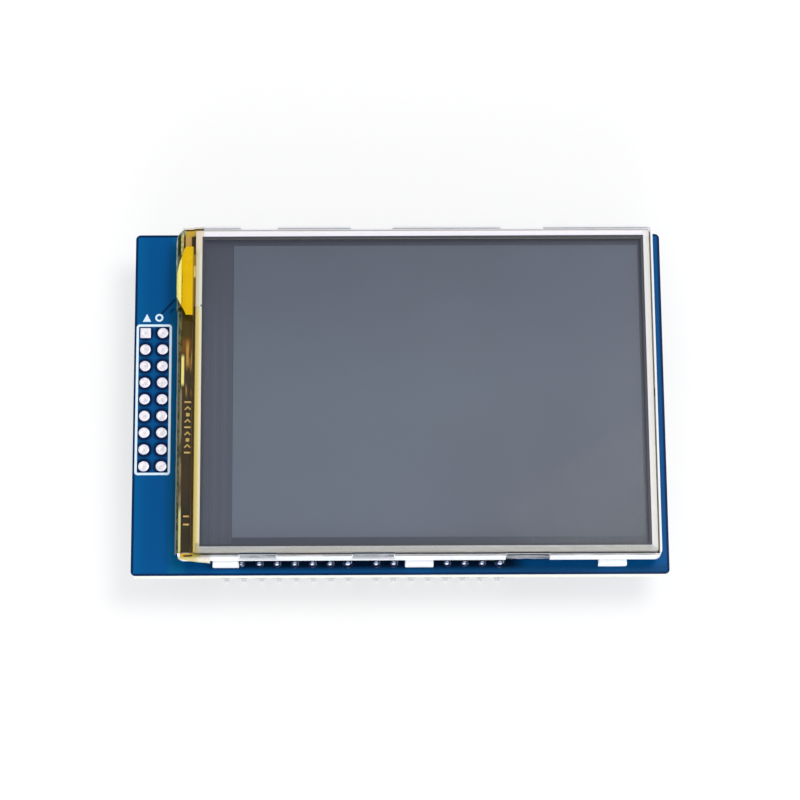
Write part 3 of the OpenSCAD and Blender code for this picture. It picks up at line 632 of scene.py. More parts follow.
pad_reach = 0.965 * pad_radius
barrel = 0.5
random.seed(5)
pad_bodies = []
for column in range(2):
    for row in range(9):
        centre = (pad_first[0] + pitch * column, pad_rows[row])
        dip = random.uniform(0.02, 0.05)
        lean = random.uniform(0, 2 * math.pi)
        square = column == 0 and row == 8

        def pad_shape(radius, z_value, angle, square=square, lean=lean):
            wide = radius * (1 + 0.012 * math.cos(2 * angle + lean))
            if square:
                corner = 1 / max(abs(math.cos(angle)), abs(math.sin(angle)))
                share = min(1.0, max(0.0, (radius - 0.3) / 0.35))
                wide = radius * (1 + (min(corner, 1.34) - 1) * share)
            return wide * math.cos(angle), wide * math.sin(angle)

        face_profile = [
            (pad_reach, 0), (pad_reach - 0.01, 0.035), (pad_reach - 0.08, 0.066),
            (pad_reach - 0.2, 0.076), (0.4, 0.07 - 0.3 * dip), (0.2, 0.068 - dip),
            (0, 0.066 - 1.1 * dip),
        ]
        back_face = [(radius, back_z - rise) for radius, rise in reversed(face_profile)]
        front_face = [(radius, front_z + rise) for radius, rise in face_profile]
        body = back_face + [(barrel, back_z), (barrel, front_z)] + front_face
        pad_bodies.append(turned(body, centre, 48, pad_shape))
pads = add_piece("filled_pads", *joined(pad_bodies), tin, "solder", 50)
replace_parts(pads, "expansion_pads")


# ---------------------------------------------------------------- header strips and pins
# Four strips of black moulded nylon lie against the back of the board. Square tin-plated pins
# are pressed through them and stand a little proud of the board's front.
nylon = two_tone("header_nylon", {"Roughness": 0.48, "Specular IOR Level": 0.4}, (0.6, 4),
                 (20, 20, 22), (34, 34, 36), 0.015, (0.14, 3))
for node in ("front_left_strip", "front_right_strip", "rear_left_strip", "rear_right_strip"):
    dress(node, nylon, 0.09)

pin_tin, tree, surface = new_finish("pin_tin", {"Metallic": 0.85, "Roughness": 0.3})
pin_colour = mix(grain(tree, 1.2, 3, (1, 1, 0.3)), srgb(232, 234, 238), srgb(206, 210, 216))
# Painted shade: above the board the pins are darkened to the navy of the joints, so that their tips
# show no bright reflection.
tip_shade = fade(place_axes(tree)[2], board_high.z, board_high.z + 0.1)
pin_colour = mix(tip_shade * 0.9, pin_colour, srgb(46, 58, 84))
plug(surface, "Base Color", pin_colour)
emboss(surface, grain(tree, 0.2, 3, (1, 1, 0.15)), 0.006)
for node in ("front_left_pins", "front_right_pins", "rear_left_pins", "rear_right_pins"):
    dress(node, pin_tin, 0.03, 1)


# ---------------------------------------------------------------- soldered pin joints
# Each pin is soldered on the front: a shiny cone of tin climbs up the pin's tip. Wave
# soldering leaves every cone leaning a little, and the last of each group the widest.
joint_tin, tree, surface = new_finish("joint_tin", {"Metallic": 0.7, "Roughness": 0.3})
x, y, z = place_axes(tree)
first_group = row_distance(x, pins_front[0], 16)
second_group = row_distance(x, pins_front[8], 8)
in_second = fade(x, -5.4, -5.2) * field_step("LESS_THAN", y, 0)
local_x = first_group + in_second * (second_group - first_group)
local_y = abs(y) - rear_row_y
local_y = local_y * field_step("SIGN", y)


def painted_highlight(centre_x, centre_y, half_x, half_y):
    """The field of an oval painted highlight, placed from the middle of each joint."""
    across = (local_x - centre_x) / half_x
    along = (local_y - centre_y) / half_y
    reach = across ** 2 + along ** 2
    return 1 - fade(reach, 0.55, 1.3)


# Painted reflection: the tin is coloured dark navy, as it would mirror the board, with two painted
# highlights on each joint, an oval at its lower left and a streak on its right; its foot takes the
# navy of the board.
joint_colour = mix(grain(tree, 0.4, 3), srgb(22, 36, 66), srgb(44, 62, 100))
joint_highlights = higher(painted_highlight(-0.02, -0.3, 0.33, 0.22), painted_highlight(0.48, 0.1, 0.11, 0.42))
joint_colour = mix(joint_highlights, joint_colour, srgb(192, 206, 236))
foot_reflection = 1 - fade(z, front_z + 0.06, front_z + 0.16)
joint_colour = mix(foot_reflection, joint_colour, srgb(8, 26, 54))
plug(surface, "Base Color", joint_colour)
emboss(surface, grain(tree, 0.3, 2), 0.015)

random.seed(23)


def pin_joint(centre, wide, inside_foam):
    """One cone of solder round a pin, fullest at its lower left."""
    lean = (-0.16 + random.uniform(-0.05, 0.05), -0.12 + random.uniform(-0.04, 0.04))
    swell = random.uniform(0.94, 1.06) * (1.1 if wide else 1.0)
    if inside_foam:
        swell = 0.78

    def joint_shape(radius, z_value, angle):
        rise = max(0.0, z_value - front_z)
        lobe = 1 + 0.05 * math.cos(2 * angle + lean[0] * 40)
        if wide and radius < 0.6:
            lobe *= 1 + 0.35 * math.cos(angle) ** 2
        reach = radius * (swell * lobe if rise > 0.001 or radius > 0.55 else 1)
        push = math.sin(math.pi * min(1.0, rise / 0.9))
        return reach * math.cos(angle) + lean[0] * push, reach * math.sin(angle) + lean[1] * push

    cone = ((0.76, 0), (0.76, 0.03), (0.69, 0.08), (0.58, 0.17), (0.52, 0.32), (0.48, 0.5),
            (0.45, 0.7), (0.41, 0.86), (0.28, 0.92))
    profile = [(0.3, back_z + 0.01), (0.49, back_z + 0.01), (0.49, front_z)]
    profile += [(radius, front_z + rise) for radius, rise in cone]
    return turned(profile, centre, 28, joint_shape)


foam_middles = (-25.05, 2.7, 30.45)
for name, node, places, row_y in (("front_joints", "front_solder", pins_front, front_row_y),
                                  ("rear_joints", "rear_solder", pins_rear, rear_row_y)):
    last_of_group = (7, 15) if row_y < 0 else (5, 13)
    bodies = []
    for index, place in enumerate(places):
        in_foam = any(abs(place - middle) < 2.4 for middle in foam_middles)
        bodies.append(pin_joint((place, row_y), index in last_of_group, in_foam))
    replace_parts(add_piece(name, *joined(bodies), joint_tin, "solder", 60), node)


# ---------------------------------------------------------------- card socket
# A push-in memory card socket: a stamped bright steel shell folded over a black base, with
# eight sprung contacts. Its mouth opens at the board's right edge.
steel = two_tone("socket_steel", {"Metallic": 1.0, "Roughness": 0.28, "Anisotropic": 0.4},
                 (0.5, 4, (0.12, 1, 1)), (206, 208, 210), (178, 180, 184), 0.006,
                 (0.3, 3, (0.1, 1, 1)))
dress("card_socket_shell", steel, 0.09)
dress("card_socket_base", nylon, 0.06)
contact_gold = two_tone("contact_gold", {"Metallic": 1.0, "Roughness": 0.26}, (0.6, 3),
                        (238, 208, 140), (222, 186, 112), 0.006, (0.2, 3))
dress("card_socket_contacts", contact_gold, 0.03, 1)


# ---------------------------------------------------------------- regulator, level shifters
# Moulded black epoxy cases with tin-plated legs, soldered to the back of the board. A dimple
# moulded in the corner marks the first leg.
epoxy = two_tone("case_epoxy", {"Roughness": 0.55, "Specular IOR Level": 0.35}, (0.3, 5),
                 (22, 22, 24), (40, 40, 43), 0.02, (0.09, 4))
dress("regulator_case", epoxy, 0.12)
dress("shifter_cases", epoxy, 0.12)

lead_tin = two_tone("lead_tin", {"Metallic": 0.9, "Roughness": 0.3}, (0.3, 4), (226, 226, 230),
                    (196, 198, 202), 0.01, (0.15, 3))
dress("regulator_leads", lead_tin, 0.03, 1)
dress("shifter_leads", lead_tin, 0.03, 1)

case_z = box_mm("shifter_cases")[0].z
dimple = [(radius, case_z + rise) for radius, rise in (
    (0, 0.004), (0.26, -0.004), (0.3, -0.014), (0.36, -0.004), (0.38, 0.02))]
marks = [turned(dimple, (-12.1, y_value), 20) for y_value in (-9 + 1.3, 9 + 1.3)]
add_piece("case_dimples", *joined(marks), epoxy, "case_black", 60)


# ---------------------------------------------------------------- tantalum and chip parts
# Tantalum capacitors in yellow epoxy with a brown bar on the positive end, tan ceramic
# capacitors and black resistors with tinned ends, each held by a small cove of solder.
tantalum = two_tone("tantalum_epoxy", {"Roughness": 0.45, "Specular IOR Level": 0.4}, (0.4, 4),
                    (222, 184, 92), (206, 164, 72), 0.015, (0.1, 4))
dress("tantalum_capacitors", tantalum, 0.12)
dress("tantalum_terminals", lead_tin, 0.02, 1)

bar_ink = two_tone("polarity_bar", {"Roughness": 0.5}, (0.2, 4), (110, 60, 24), (134, 78, 36), 0.01,
                   (0.1, 3))
tantalum_low = box_mm("tantalum_capacitors")[0].z
bars = [track([(19.9, 8.2), (22.1, 8.2)], 0.5, tantalum_low + 0.001, -0.012),
        track([(26.4, 15.7), (28.6, 15.7)], 0.5, tantalum_low + 0.001, -0.012)]
add_piece("polarity_bars", *joined(bars), bar_ink, "tantalum_case", 30)

ceramic = two_tone("chip_ceramic", {"Roughness": 0.4}, (0.25, 5), (178, 150, 118), (154, 124, 92),
                   0.01, (0.08, 4))
dress("chip_capacitors", ceramic, 0.05)
dress("chip_resistors", epoxy, 0.04)
dress("chip_end_caps", lead_tin, 0.05)


# ---------------------------------------------------------------- foam tape
# Three strips of white closed-cell foam with glue on both faces hold the display 2 mm off
# the board. Cut with a blade, their sides bulge a little under the display's weight.


def pattern(tree, kind, size, output, **inputs):
    """The field of a built-in pattern with repeats of a size in millimetres."""
    place = add_node(tree, "ShaderNodeTexCoord").outputs["Object"]
    node = add_node(tree, kind, {"Vector": place, "Scale": 1 / (size * MM), **inputs})
    return Field(node.outputs[output])


foam, tree, surface = new_finish("foam", {
    "Roughness": 0.85,
    "Specular IOR Level": 0.15,
    "Sheen Weight": 0.1,
})
cells = pattern(tree, "ShaderNodeTexVoronoi", 0.16, "Distance")
foam_colour = mix(cells, srgb(255, 255, 255), srgb(242, 245, 250))
plug(surface, "Base Color", foam_colour)
emboss(surface, cells, 0.015)

foam_low, foam_high = box_mm("foam_tape")
foam_steps = 64
foam_rise = foam_high.z - foam_low.z
inner_sides = (-0.92, -0.5, 0.0, 0.5, 0.92)


def foam_strip(middle, foam_w):
    """One strip as a ring of points at each step along it, pushed in and out by soft noise."""
    levels = [0.0, 0.06, 0.3, 0.55, 0.8, 0.94, 1.0]
    between = len(inner_sides)
    ring = [(-1, level) for level in levels]
    ring += [(side, 1.0) for side in inner_sides]
    ring += [(1, level) for level in reversed(levels)]
    ring += [(side, 0.0) for side in reversed(inner_sides)]
    vertices = []
    for step in range(foam_steps + 1):
        along = step / foam_steps
        y_value = foam_low.y + (foam_high.y - foam_low.y) * along
        for side, level in ring:
            bulge = 0.07 * math.sin(math.pi * level) if abs(side) == 1 else 0.0
            if level in (0.0, 1.0) and abs(side) == 1:
                bulge = -0.05
            wander = 0.05 * noise.noise((side * 3, along * 30, level * 2 + middle))
            end_wander = 0.0
            if step in (0, foam_steps):
                end_wander = 0.05 * noise.noise((side * 2.5, level * 2.5, middle + along * 9))
                end_wander += 0.04 * math.sin(math.pi * level) - 0.04
            outward = -1 if step == 0 else 1
            vertices.append((middle + side * foam_w / 2 * (1 + bulge / 2) + wander * abs(side),
                             y_value + outward * end_wander,
                             foam_low.z + foam_rise * level))
    around = len(ring)
    faces = []
    for step in range(foam_steps):
        a = step * around
        for k in range(around):
            after = (k + 1) % around
            faces.append((a + k, a + after, a + around + after, a + around + k))
    for step, flip in ((0, True), (foam_steps, False)):
        a = step * around
        y_end = sum(vertices[a + k][1] for k in range(around)) / around
        rows = []
        for index, level in enumerate(levels):
            left = a + index
            right = a + len(levels) + between + (len(levels) - 1 - index)
            inner = []
            if 0 < index < len(levels) - 1:
                for side in inner_sides:
                    wobble = 0.05 * noise.noise((side * 2.5, level * 2.5, middle + 9.0))
                    inner.append(len(vertices))
                    vertices.append((middle + side * foam_w / 2, y_end + wobble,
                                     foam_low.z + foam_rise * level))
            elif index == 0:
                inner = [a + around - 1 - j for j in range(between)]
            else:
                inner = [a + len(levels) + j for j in range(between)]
            rows.append([left, *inner, right])
        for lower, upper in zip(rows, rows[1:]):
            for k in range(len(lower) - 1):
                face = (lower[k], lower[k + 1], upper[k + 1], upper[k])
                faces.append(face if flip else tuple(reversed(face)))
    return vertices, faces


foam_widths = (3.65, 3.95, 4.0)
foam_parts = [foam_strip(middle, width) for middle, width in zip(foam_middles, foam_widths)]
foam_body = add_piece("foam_strips", *joined(foam_parts), foam, "foam", 60)
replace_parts(foam_body, "foam_tape")


# ---------------------------------------------------------------- backlight
# The display's white polycarbonate housing carries a stack that spreads the light of four
# small lamps: a reflector, an acrylic guide, and thin diffuser and prism sheets.
housing, tree, surface = new_finish("housing_plastic", {
    "Roughness": 0.38,
    "Specular IOR Level": 0.45,
    "Subsurface Weight": 0.08,
    "Subsurface Scale": 0.6 * MM,
})
housing_colour = mix(grain(tree, 5, 3), srgb(252, 253, 255), srgb(244, 247, 252))
x, y, z = place_axes(tree)
# Painted shadow: a grey line along the front edge of the lip, broken up by a grain, where the panel's
# edge shades it.
lip_shadow_line = band(y, -24.24, -24.1, 0.04) * fade(z, 14.38, 14.44)
lip_shadow_grain = fade(grain(tree, 2.6, 3, (0.6, 1, 1)), 0.4, 0.56)
lip_shadow_share = lip_shadow_line * (lip_shadow_grain * 0.4 + 0.35)
housing_colour = mix(lip_shadow_share, housing_colour, srgb(128, 126, 124))
near_corner = band(x, -29.4, -27.1, 0.6) * (1 - fade(y, -23.9, -23.8))
near_corner = near_corner * fade(z, 14.1, 14.3)
housing_colour = mix(near_corner * 0.85, housing_colour, srgb(186, 180, 172))
plug(surface, "Base Color", housing_colour)
emboss(surface, grain(tree, 0.2, 3), 0.006)
dress("backlight_housing", housing, 0.09)

foil, tree, surface = new_finish("ear_foil", {"Roughness": 0.42, "Metallic": 0.2})
foil_colour = mix(grain(tree, 0.9, 4, (1, 1, 0.6)), srgb(132, 136, 142), srgb(188, 191, 196))
dark_streak = fade(grain(tree, 1.1, 3, (0.4, 1, 2.5)), 0.5, 0.62)
foil_colour = mix(dark_streak, foil_colour, srgb(70, 72, 78))
# Painted light: the ears in the rear wall are painted near white, paler than the front ones, over the
# shade of their recesses.
y = place_axes(tree)[1]
foil_colour = mix(fade(y, 0, 1) * 0.85, foil_colour, srgb(246, 247, 250))
plug(surface, "Base Color", foil_colour)
emboss(surface, grain(tree, 0.5, 3), 0.04)
house_low, house_high = box_mm("backlight_housing")
ear_places = ((-23.1, -17.7, 0.68), (-6.95, -0.85, 0.68), (15.05, 21.35, 0.12))


def sheet_faces(columns, rows, plain_side=0):
    """The faces of a thin sheet: its two sides, from points column by column, and its border."""
    per_side = (columns + 1) * (rows + 1)
    faces = []
    for side in (0, 1):
        for column in range(columns):
            for row in range(rows):
                a = side * per_side + column * (rows + 1) + row
                face = (a, a + 1, a + rows + 2, a + rows + 1)
                faces.append(face if side == plain_side else face[::-1])
    border = [column * (rows + 1) for column in range(columns)]
    border += [columns * (rows + 1) + row for row in range(rows)]
    border += [column * (rows + 1) + rows for column in range(columns, 0, -1)]
    border += list(range(rows, 0, -1))
    for a, b in zip(border, border[1:] + border[:1]):
        faces.append((b, a, a + per_side, b + per_side))
    return faces


def foil_ear(x_low, x_high, sill, y_wall, outward):
    """A crinkled ear of the reflector, tucked up into a recess of the housing's long wall."""
    z_low = house_low.z + sill
    z_high = house_high.z - 0.3
    sag = 0.5 if sill > 0.5 else 1.4
    columns, rows = 28, 6
    vertices = []
    for side in (0, 1):
        for column in range(columns + 1):
            for row in range(rows + 1):
                px = x_low + 0.12 + (x_high - x_low - 0.24) * column / columns
                crinkle = 0.05 * noise.noise((px * 1.7, row * 0.6, y_wall))
                slump = 0.06 * noise.noise((px * 1.1, 5.0, y_wall)) * (1 - row / rows)
                z_value = z_low + (z_high - z_low) * row / rows - abs(slump) * sag
                vertices.append((px, y_wall + outward * (0.06 * side - 0.08 + crinkle), z_value))
    return vertices, sheet_faces(columns, rows, 1 if outward < 0 else 0)


insets = (0.3, 0.3, 0.1)
ears = [foil_ear(*place, house_low.y + inset, -1) for place, inset in zip(ear_places, insets)]
ears += [foil_ear(*place, house_high.y - 0.3, 1) for place in ear_places]
add_piece("reflector_ears", *joined(ears), foil, "reflector_film", 50)

reflector = two_tone("reflector_film", {"Roughness": 0.25, "Metallic": 0.3}, (2, 3),
                     (232, 236, 240), (214, 220, 226), 0.01, (1.2, 2))
dress("back_reflector", reflector)

acrylic, tree, surface = new_finish("light_guide", {"Roughness": 0.12, "IOR": 1.49})
dots = pattern(tree, "ShaderNodeTexVoronoi", 0.8, "Distance", Randomness=0.1)
acrylic_colour = mix(fade(dots, 0.15, 0.25), srgb(250, 252, 252), srgb(222, 236, 236))
plug(surface, "Base Color", acrylic_colour)
dress("light_guide", acrylic, 0.04)

lamp_case = two_tone("lamp_case", {"Roughness": 0.3}, (0.5,), (250, 240, 170), (252, 226, 120))
dress("lamps", lamp_case, 0.05)

milky, tree, surface = new_finish("optical_sheet", {"Roughness": 0.5})
milky_colour = mix(grain(tree, 0.5, 3), srgb(236, 239, 242), srgb(224, 228, 233))
plug(surface, "Base Color", milky_colour)
emboss(surface, pattern(tree, "ShaderNodeTexWave", 0.5, "Fac"), 0.008)
for node in ("diffuser_sheet", "lower_prism_sheet", "upper_prism_sheet"):
    dress(node, milky)

black_tape = two_tone("black_tape", {"Roughness": 0.6}, (0.6, 4), (20, 20, 21), (32, 32, 34))
dress("light_shield_tape", black_tape)


# ---------------------------------------------------------------- display cell
# Two sheets of thin glass with a grey polariser outside each. The picture area is a shade
# paler than the margin, where fine conductors run down both sides to the driver chip.
cell_glass, tree, surface = new_finish("cell_glass", {
    "Roughness": 0.08,
    "IOR": 1.52,
    "Alpha": 0.55,
})
glass_colour = mix(grain(tree, 6), srgb(120, 136, 140), srgb(136, 150, 154))
edge_green = mix(grain(tree, 1), srgb(84, 118, 108), srgb(98, 130, 120))
plug(surface, "Base Color", mix(facing_up(tree), edge_green, glass_colour))
dress("rear_cell_glass", cell_glass, 0.04, 1)
dress("front_cell_glass", cell_glass, 0.04, 1)

polariser, tree, surface = new_finish("polariser", {"Roughness": 0.3, "Specular IOR Level": 0.2})
x, y, _ = place_axes(tree)
picture_low = (-24.1, -21.4)
picture_high = (35.05, 22.74)
inside = fade(edge_distance(tree, picture_low, picture_high), -0.03, 0.05)
# Painted reflection: the margin and its lanes grow darker towards the rear, and the picture area is
# lighter towards the front and darker towards the right and the rear, most of all at the front right,
# as the studio's reflection falls across the screen.
margin_colour = mix(fade(y, -24, 24), srgb(56, 64, 80), srgb(50, 52, 69))
lane = field_step("SINE", x * (2 * math.pi / 1.35))
fine_lane = field_step("SINE", x * (2 * math.pi / 0.47))
lanes = lane * 0.6 + fine_lane * 0.4
lane_colour = mix(fade(lanes, -1.0, 1.0, "LINEAR"), srgb(66, 71, 86), srgb(75, 80, 95))
lane_colour = mix(fade(y, 2, 24), lane_colour, srgb(57, 60, 75))
left_margin = 1 - fade(x, -24.3, -24.1)
clear_of_ends = 1 - fade(abs(y), 22.0, 22.9)
margin_colour = mix(left_margin * clear_of_ends, margin_colour, lane_colour)
picture_colour = mix(fade(y, -3, 23), srgb(96, 105, 119), srgb(81, 88, 102))
front_reflection = 1 - fade(y, -22, -4)
picture_colour = mix(front_reflection * 0.6, picture_colour, srgb(97, 104, 120))
right_reflection = fade(x, 2, 34)
picture_colour = mix(right_reflection * 0.75, picture_colour, srgb(81, 90, 106))
front_right_reflection = fade(x, -8, 34) * (1 - fade(y, -22, 6))
picture_colour = mix(front_right_reflection * 0.95, picture_colour, srgb(66, 73, 87))
mottle = grain(tree, 10, 2) * 0.22
picture_colour = mix(mottle, picture_colour, srgb(107, 112, 130))
plug(surface, "Base Color", mix(inside, margin_colour, picture_colour))
emboss(surface, grain(tree, 0.25, 2), 0.002)
dress("front_polariser", polariser)

rear_film = two_tone("rear_polariser", {"Roughness": 0.3}, (4,), (84, 90, 100), (94, 100, 112))
dress("rear_polariser", rear_film)

silicon = two_tone("driver_silicon", {"Roughness": 0.18, "Metallic": 0.4}, (2,), (64, 62, 68),
                   (84, 80, 86))
dress("driver_chip", silicon, 0.02, 1)


# ---------------------------------------------------------------- display flex
# A brown polyimide film over copper tracks. It is bonded to the glass ledge, folds over the
# housing's end and back under it, and a narrower tail runs down to lands on the board.


def map_lengths(piece, places):
    """Gives each point of a piece its length along the sheet and its y, in millimetres."""
    layer = piece.data.uv_layers.new(name="length_map")
    for loop in piece.data.loops:
        layer.data[loop.index].uv = places[loop.vertex_index]


def length_axes(tree):
    """The map of a bent sheet, and its fields of the length along the sheet and of y."""
    length_map = add_node(tree, "ShaderNodeUVMap", uv_map="length_map").outputs[0]
    lengths = add_node(tree, "ShaderNodeSeparateXYZ", {0: length_map})
    return length_map, Field(lengths.outputs["X"]), Field(lengths.outputs["Y"])


def bent_sheet(name, line, thickness, y_low, y_high, finish, slot, steps=40, dent=None):
    """A sheet that follows a line of (x, z) points and runs along y. Its map holds millimetres."""
    lengths = [0.0]
    for (x0, z0), (x1, z1) in zip(line, line[1:]):
        lengths.append(lengths[-1] + math.hypot(x1 - x0, z1 - z0))
    count = len(line)
    normals = []
    for index in range(count):
        x0, z0 = line[max(index - 1, 0)]
        x1, z1 = line[min(index + 1, count - 1)]
        length = math.hypot(x1 - x0, z1 - z0)
        normals.append(((z1 - z0) / length, (x0 - x1) / length))
    vertices = []
    places = []
    for step in range(steps + 1):
        y_value = y_low + (y_high - y_low) * step / steps
        for side in (0, 1):
            for index in range(count):
                along = index if side == 0 else count - 1 - index
                (px, pz), (nx, nz) = line[along], normals[along]
                push = thickness * side + (dent(lengths[along], y_value) if dent else 0.0)
                vertices.append((px + nx * push, y_value, pz + nz * push))
                places.append((lengths[along], y_value))
    around = 2 * count
    faces = []
    for step in range(steps):
        a = step * around
        for k in range(around):
            after = (k + 1) % around
            faces.append((a + k, a + around + k, a + around + after, a + after))
    for step, flip in ((0, False), (steps, True)):
        a = step * around
        for k in range(count - 1):
            face = (a + k, a + k + 1, a + around - 2 - k, a + around - 1 - k)
            faces.append(tuple(reversed(face)) if flip else face)
    piece = add_piece(name, vertices, faces, finish, slot, 50)
    map_lengths(piece, places)
    return piece


def arc_points(centre, radius, start, end, count):
    """Points of an arc in the x and z plane, with its angles in degrees."""
    points = []
    for k in range(count + 1):
        angle = math.radians(start + (end - start) * k / count)
        points.append((centre[0] + radius * math.cos(angle), centre[1] + radius * math.sin(angle)))
    return points


flex_low, flex_high = box_mm("display_flex")
ledge_z = box_mm("rear_cell_glass")[1].z
reflector_z = box_mm("back_reflector")[0].z
flex_t = 0.12
fold_r = (ledge_z + flex_t - (reflector_z - flex_t)) / 2
fold_x = flex_low.x + fold_r
fold_z = reflector_z - flex_t + fold_r
polyimide, tree, surface = new_finish("flex_polyimide", {
    "Roughness": 0.26,
    "Specular IOR Level": 0.22,
})
length_map, along, y_mm = length_axes(tree)
x, _, z = place_axes(tree)
flex_dark = mix(grain(tree, 4, 3, (1, 0.3, 1)), srgb(42, 34, 28), srgb(52, 44, 37))
front_end = 1 - fade(y_mm, -18, -12)
flex_colour = mix(front_end, flex_dark, srgb(36, 33, 28))
flex_colour = mix(fade(y_mm, 3.0, 9.0), flex_colour, srgb(66, 50, 12))
reddish = band(y_mm, 6.4, 8.6, 0.6)
flex_colour = mix(reddish * 0.85, flex_colour, srgb(112, 70, 24))
streaks = fade(grain(tree, 0.7, 3, (1, 0.12, 1)), 0.42, 0.56)
streak_zone = band(y_mm, 0.2, 8.0, 0.8) * band(along, 0.3, 1.2, 0.12)
streak_share = streaks * streak_zone
flex_colour = mix(streak_share, flex_colour, srgb(186, 140, 64))
on_top = fade(z, fold_z, fold_z + 0.2)


def fold_line(x_low, x_high, y_low, y_high, soft=0.05, ends=0.8):
    """The field of a line that runs along the upper half of the fold."""
    across = band(x, x_low, x_high, soft) * on_top
    return across * band(y_mm, y_low, y_high, ends)


lit_streak = fold_line(-31.62, -31.22, 1.6, 6.0, 0.08, 0.4)
flex_colour = mix(lit_streak, flex_colour, srgb(242, 226, 132))
worn = fade(grain(tree, 1.6, 3, (1, 0.35, 1)), 0.3, 0.5)
copper_edge = fold_line(-31.8, -31.48, -16.6, 1.0, 0.06) * worn
flex_colour = mix(copper_edge, flex_colour, srgb(136, 120, 90))
pale_fold = fold_line(-31.78, -31.46, -24.0, -16.9, 0.05)
flex_colour = mix(pale_fold, flex_colour, srgb(206, 202, 140))
speckle = fade(grain(tree, 0.5, 4, (1, 0.6, 1)), 0.42, 0.58)
olive = mix(speckle, srgb(38, 50, 18), srgb(96, 100, 62))
olive_share = fold_line(-32.12, -31.84, -24.0, 24.0, 0.04)
flex_colour = mix(olive_share * 0.85, flex_colour, olive)
dark_green = fold_line(-32.05, -31.6, 6.8, 24.0, 0.08)
flex_colour = mix(dark_green, flex_colour, olive)
# Painted reflection: the outermost curve of the fold is painted pale grey-green, where its silhouette
# would catch the pale room.
outermost = 1 - fade(x, -32.2, -32.1)
rim_reflection = outermost * fade(z, fold_z - 0.45, fold_z - 0.2)
flex_colour = mix(rim_reflection * 0.85, flex_colour, srgb(150, 156, 140))
ribs = {"Vector": length_map, "Scale": 0.55, "Distortion": 0.0}
lay = Field(add_node(tree, "ShaderNodeTexWave", ribs, bands_direction="Y").outputs["Fac"])
underside = fade(along, 3.2, 3.6)
ribbing = fade(lay, 0.3, 0.7) * 0.5 * underside
flex_colour = mix(ribbing, flex_colour, srgb(146, 104, 36))
plug(surface, "Base Color", flex_colour)
emboss(surface, lay, 0.006)

bond_end = -29.75
fold_reach = fold_r + 0.18


def flex_dent(length, y_value):
    """The soft waves of a film that is bent by hand, strongest round its outer bend."""
    strength = math.exp(-((length - 2.9) / 0.9) ** 2)
    return -0.03 * strength * (0.5 + 0.5 * math.sin(y_value * 0.9) * math.cos(y_value * 0.37))


flex_line = [(bond_end, ledge_z + flex_t), (-30.3, ledge_z + flex_t), (-30.8, ledge_z + flex_t)]
for step in range(33):
    angle = math.pi * step / 32
    flex_line.append((fold_x - fold_reach * math.sin(angle), fold_z + fold_r * math.cos(angle)))
flex_line += [(fold_x + 0.6, reflector_z - flex_t), (fold_x + 1.26, reflector_z - flex_t)]
flex_middle_y = (flex_low.y + flex_high.y) / 2
flex_body = bent_sheet("flex_fold", flex_line, -flex_t, flex_low.y, flex_high.y, polyimide,
                       "flex_film", 120, flex_dent)

s_bend = (reflector_z - front_z - flex_t) / 2
bend_x = fold_x + 1.26
down_x = bend_x + 2 * s_bend
bend_z = reflector_z - flex_t / 2 - s_bend
tail_line = [(fold_x + 0.7, reflector_z - flex_t)]
tail_line += arc_points((bend_x, bend_z), s_bend - flex_t / 2, 90, 0, 10)
tail_line += arc_points((down_x, bend_z), s_bend + flex_t / 2, 180, 270, 10)
tail_line += [(down_x + 0.4, front_z), (down_x + 0.8, front_z)]
tail_piece = bent_sheet("flex_tail", tail_line, -flex_t, flex_middle_y - 15, flex_middle_y + 15,
                        polyimide, "flex_film", 40)
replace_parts(flex_body, "display_flex")
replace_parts(tail_piece, "display_flex")

gold_ink = two_tone("flex_marks", {"Roughness": 0.35, "Metallic": 0.35}, (0.3, 3), (222, 190, 112),
                    (176, 140, 66))
mark_z = ledge_z + flex_t + 0.002
tick_rise = 0.02
ticks = []
for k in range(9):
    tick_y = -1.0 - 0.95 * k
    if k % 4 == 0:
        line, width = [(-31.1, tick_y), (-30.15, tick_y)], 0.24
    elif k % 4 == 2:
        line, width = [(-30.85, tick_y), (-30.35, tick_y)], 0.5
    else:
        line = [(-31.05, tick_y - 0.22), (-30.62, tick_y + 0.2), (-30.2, tick_y - 0.22)]
        width = 0.2
    ticks.append(track(line, width, mark_z, tick_rise))
for tick_y in (-18.1, -19.3):
    ticks.append(track([(-31.1, tick_y), (-30.25, tick_y)], 0.24, mark_z, tick_rise))
add_piece("flex_ticks", *joined(ticks), gold_ink, "flex_film", 30)


# ---------------------------------------------------------------- bond tape
# Amber polyimide tape keeps the flex's bond and the bare driver chip covered. It is clear
# enough for the dark flex to show, and its ends are turned down over the housing's walls.
amber, tree, surface = new_finish("amber_tape", {"Roughness": 0.22, "Specular IOR Level": 0.25})
x, y, _ = place_axes(tree)
amber_colour = mix(grain(tree, 1.8, 3, (1, 0.4, 1)), srgb(208, 166, 44), srgb(218, 182, 70))
pink_zone = band(y, 22.9, 24.3, 0.3)
pink_fold = band(x, -31.1, -30.35, 0.08) * pink_zone
amber_colour = mix(pink_fold, amber_colour, srgb(214, 168, 98))
pale_amber = mix(grain(tree, 1.2, 3), srgb(236, 222, 142), srgb(222, 204, 112))
pale_amber = mix(fade(x, -29.4, -28.7), pale_amber, srgb(248, 240, 216))
front_end = 1 - fade(y, -24.2, -24.1)
rear_end = fade(y, 25.4, 25.46)
ledge_end = (1 - fade(y, -23.95, -23.85)) * fade(x, -30.2, -29.7)
amber_colour = mix(ledge_end, amber_colour, srgb(200, 184, 88))
amber_colour = mix(front_end, amber_colour, pale_amber)
amber_colour = mix(rear_end, amber_colour, srgb(252, 250, 240))
